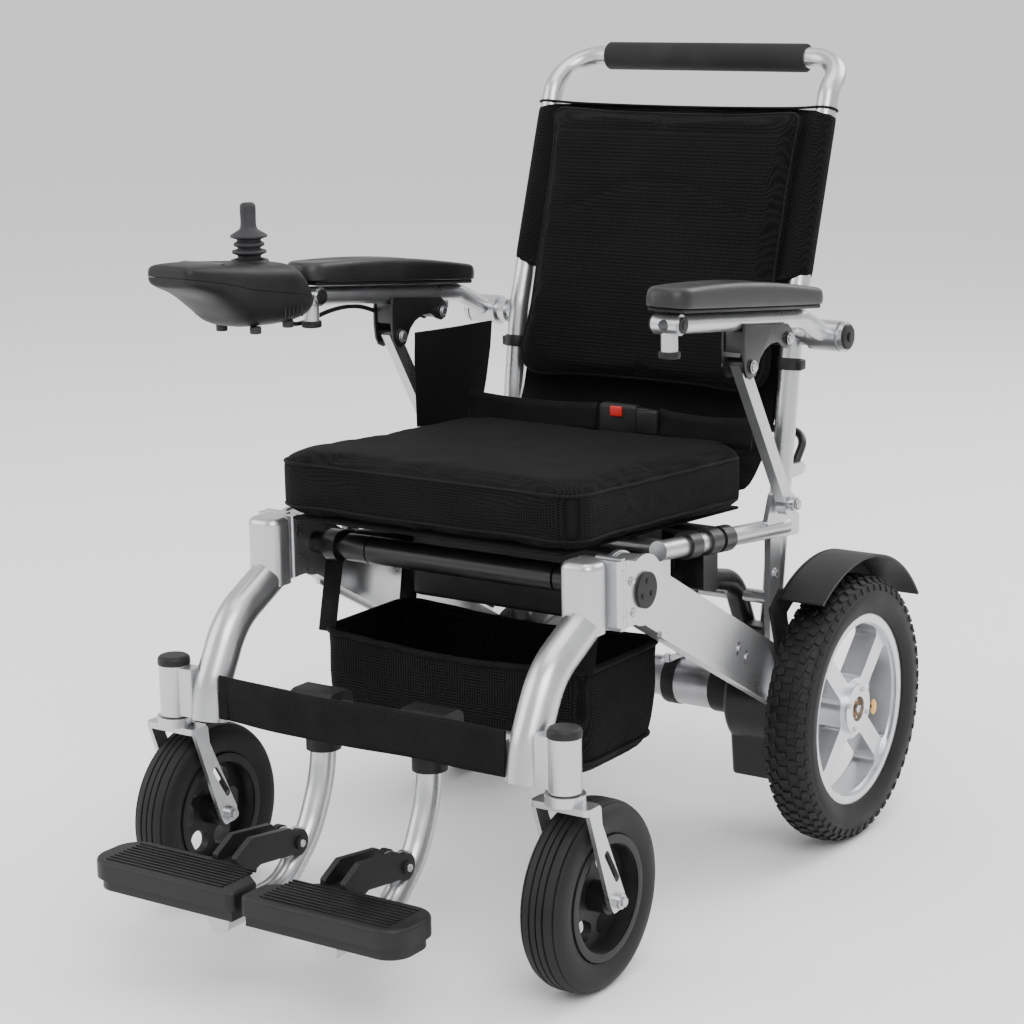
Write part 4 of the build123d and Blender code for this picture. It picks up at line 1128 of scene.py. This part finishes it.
@dataclass
class Carrier:
    """Net basket with bound rim and hangers, and the calf strap in front of it."""

    front: float = -427.0
    rear: float = -263.0
    half: float = 177.0

    def loop(self, z: float, inset: float, sag: float = 0.0) -> List[Vector]:
        """Loop round the basket at a height; sag drops the middles of the long sides."""
        mid = (self.front + self.rear) / 2
        points = []
        for x, y in long_sides(rounded_loop(self.half - inset, (self.rear - self.front) / 2 - inset, 24.0),
                               16.0):
            drop = sag * math.cos(math.pi * x / (2.2 * self.half)) ** 2
            fold = 1.6 * math.sin(x * 0.07 + z * 0.05) + 1.0 * math.sin(x * 0.16 - z * 0.09)
            bow = 0.0 if abs(y) < 40 else math.copysign(fold, y)
            points.append(at(x, min(max(y + mid + bow, self.front - 3), self.rear + 3), z - drop))
        return points

    def basket(self) -> None:
        """Net bag: sides, sagging floor and rounded lower corners."""
        shape = Shape("basket_net")
        levels = ((291.0, 1.0, 8.0), (270.0, 2.0, 5.0), (245.0, 1.0, 2.0), (215.0, 3.0, 0.0),
                  (188.0, 7.0, 0.0), (174.0, 14.0, 0.0), (166.0, 28.0, 0.0), (163.0, 52.0, 1.0))
        shape.loft([self.loop(*level) for level in levels], caps=(-1,))
        net = shape.finish(NET, "base_frame", ["storage_basket"], 180.0, 1)
        wall(net, 1.6 * MM)
        tape = pipe("basket_rim_tape", self.loop(291.0, 1.0, 8.0), 3.4 * MM, WEBBING, "base_frame",
                    cyclic=True)
        edge = pipe("basket_floor_seam", self.loop(186.0, 6.4), 1.8 * MM, PIPING, "base_frame", cyclic=True)
        pieces = [net, tape, edge]
        for end, *heights in (("front", -402, 370, -420, 288), ("rear", -250, 388, -266, 290)):
            for side, x in (("right", -172), ("left", 172)):
                hanger = Shape(f"basket_hanger_{end}_{side}")
                top, foot = at(x, *heights[:2]), at(x, *heights[2:])
                run = foot - top
                turn = run.to_track_quat("Z", "X").to_matrix().to_4x4()
                hanger.block((0.002, 0.024, run.length), (top + foot) / 2, turn, 0.0008, 2)
                pieces.append(hanger.finish(WEBBING, "base_frame"))
        for piece in pieces:
            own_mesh(piece)

    def strap(self) -> None:
        """Calf strap: flat webbing bowed forward, with stitched ends."""
        shape = Shape("calf_strap_webbing")
        columns = [(-186.5 + 373.0 * step / 48, 3.2 * math.sin(math.pi * step / 48)) for step in range(49)]
        shape.loft([[at(x, -590.5 - bow - 0.8 * math.sin(x * 0.05 + z * 0.06),
                        z + 1.2 * math.sin(x * 0.022)) for x, bow in columns]
                    for z in (226.5, 231.0, 240.0, 251.0, 262.0, 271.0, 275.5)], False, ())
        strap = shape.finish(WEBBING, "front_frame", ["calf_strap"], 180.0)
        wall(strap, 2.4 * MM)
        ends = Shape("calf_strap_ends")
        for x in (-181.0, 181.0):
            ends.block((0.012, 0.004, 0.047), at(x, -590.8, 251), bevel=0.001)
        ends.finish(WEBBING, "front_frame")

    def build(self) -> None:
        """Build the basket and the strap."""
        self.basket()
        self.strap()


# ---------------------------------------------------------------- frame hardware

@dataclass
class Hardware:
    """Bolts, sleeves and small fittings on the frame, the same on both sides."""

    def bolt(self, shape: Shape, start: Vector, end: Vector, size: float, sides: int = 6) -> None:
        """Bolt head with its washer between two points."""
        across = (end - start).normalized()
        shape.rod(start - across * 0.4 * MM, start + across * 1.2 * MM, size * 1.4, bevel=0.3 * MM)
        shape.rod(start + across * 0.8 * MM, end, size, sides=sides, bevel=0.7 * MM)

    def build(self) -> None:
        """Build all fittings."""
        base = Shape("frame_bolts")
        front = Shape("front_bolts")
        sleeves = Shape("motor_sleeves")
        bands = Shape("upright_bands")
        for hand in (-1, 1):
            for y, drop in ((-190, 2.0), (-172, -2.0)):
                centre = 385.0 - 222.0 / 401.5 * (y + 401.5) + drop
                self.bolt(base, at(hand * 227.5, y, centre), at(hand * 231.5, y, centre), 3.0 * MM, 24)
            self.bolt(base, at(hand * 214.0, -74, 330), at(hand * 217.0, -74, 330), 4.6 * MM)
            self.bolt(front, at(hand * 236.4, -428, 400), at(hand * 239.0, -428, 400), 3.6 * MM)
            self.bolt(front, at(hand * 236.4, -424, 366), at(hand * 239.0, -424, 366), 3.6 * MM)
            sleeves.pin(hand * 32, hand * 50, 0, 159, 30.2, bevel=1.5)
            sleeves.pin(hand * 98, hand * 136, 0, 159, 31.0, bevel=1.5)
            bands.rod(at(hand * 191, 1.6, 569), at(hand * 191, -0.5, 555), 14.6 * MM, bevel=1.0 * MM)
            bands.block((0.012, 0.014, 0.012), at(hand * 203, 0.5, 562), bevel=0.002)
        bands.finish(PLASTIC, "back_frame")
        base.finish(STEEL, "base_frame")
        front.finish(STEEL, "front_frame")
        sleeves.finish(PLASTIC, "base_frame")
        for tag, hand in (("left", 1), ("right", -1)):
            hinge = Shape(f"footplate_bolts_{tag}")
            for sign in (-1, 1):
                x = hand * 70 + sign * 17.5
                self.bolt(hinge, at(x, -626, 122), at(x + sign * 4.0, -626, 122), 4.4 * MM)
            hinge.finish(STEEL, f"footplate_{tag}")


# ---------------------------------------------------------------- main

def stage() -> None:
    """Pale floor, soft studio lights and the camera."""
    world = bpy.data.worlds.new("studio")
    bpy.context.scene.world = world
    world.use_nodes = True
    Net.preset(world.node_tree.nodes["Background"], {"Color": (0.98, 0.985, 0.99, 1.0), "Strength": 1.0})
    ground = Shape("floor")
    bmesh.ops.create_grid(ground.bm, x_segments=1, y_segments=1, size=14.0)
    floor = ground.place()
    pale = bpy.data.materials.new("pale floor")
    pale.use_nodes = True
    Net.preset(pale.node_tree.nodes["Principled BSDF"],
               {"Base Color": (0.97, 0.97, 0.97, 1.0), "Roughness": 0.9})
    floor.data.materials.append(pale)
    for name, place, size, power in (("key", (2.4, -2.6, 3.4), 2.6, 130.0),
                                     ("fill", (-3.2, -2.2, 2.2), 3.0, 70.0),
                                     ("rear", (1.2, 3.0, 2.8), 2.4, 80.0),
                                     ("top", (0.0, 0.0, 4.2), 3.0, 60.0)):
        lamp = bpy.data.lights.new(name, "AREA")
        lamp.size = size
        lamp.energy = power
        light = place_data(name, lamp)
        light.location = place
        aim = Vector((0.0, 0.0, 0.45)) - Vector(place)
        light.rotation_euler = aim.to_track_quat("-Z", "Y").to_euler()
    camera_data = bpy.data.cameras.new("camera")
    camera_data.lens = 89.16
    camera_data.sensor_width = 36.0
    camera = place_data("camera", camera_data)
    turn, pitch, roll = math.radians(34.2), math.radians(12.5), math.radians(-0.9)
    back = Vector((math.sin(turn) * math.cos(pitch), -math.cos(turn) * math.cos(pitch), math.sin(pitch)))
    right = Vector((math.cos(turn), math.sin(turn), 0.0))
    up = back.cross(right)
    rolled_right = right * math.cos(roll) + up * math.sin(roll)
    rolled_up = back.cross(rolled_right)
    camera.matrix_world = Matrix.Translation(at(1560.4, -2593.7, 1037.1)) @ Matrix(
        (rolled_right, rolled_up, back)).transposed().to_4x4()
    bpy.context.scene.camera = camera


def main() -> None:
    """Build the whole visual model in order."""
    logging.basicConfig(level=logging.INFO, format="%(name)s %(message)s")
    stage()
    dress_cad()
    SeatCushion().build()
    Backrest().build()
    for tag, hand in (("left", 1), ("right", -1)):
        RearWheel(tag, hand).build()
        Caster(tag, hand).build()
        Arm(tag, hand).build()
    Controller().build()
    Carrier().build()
    Hardware().build()


if __name__ == "__main__":
    main()
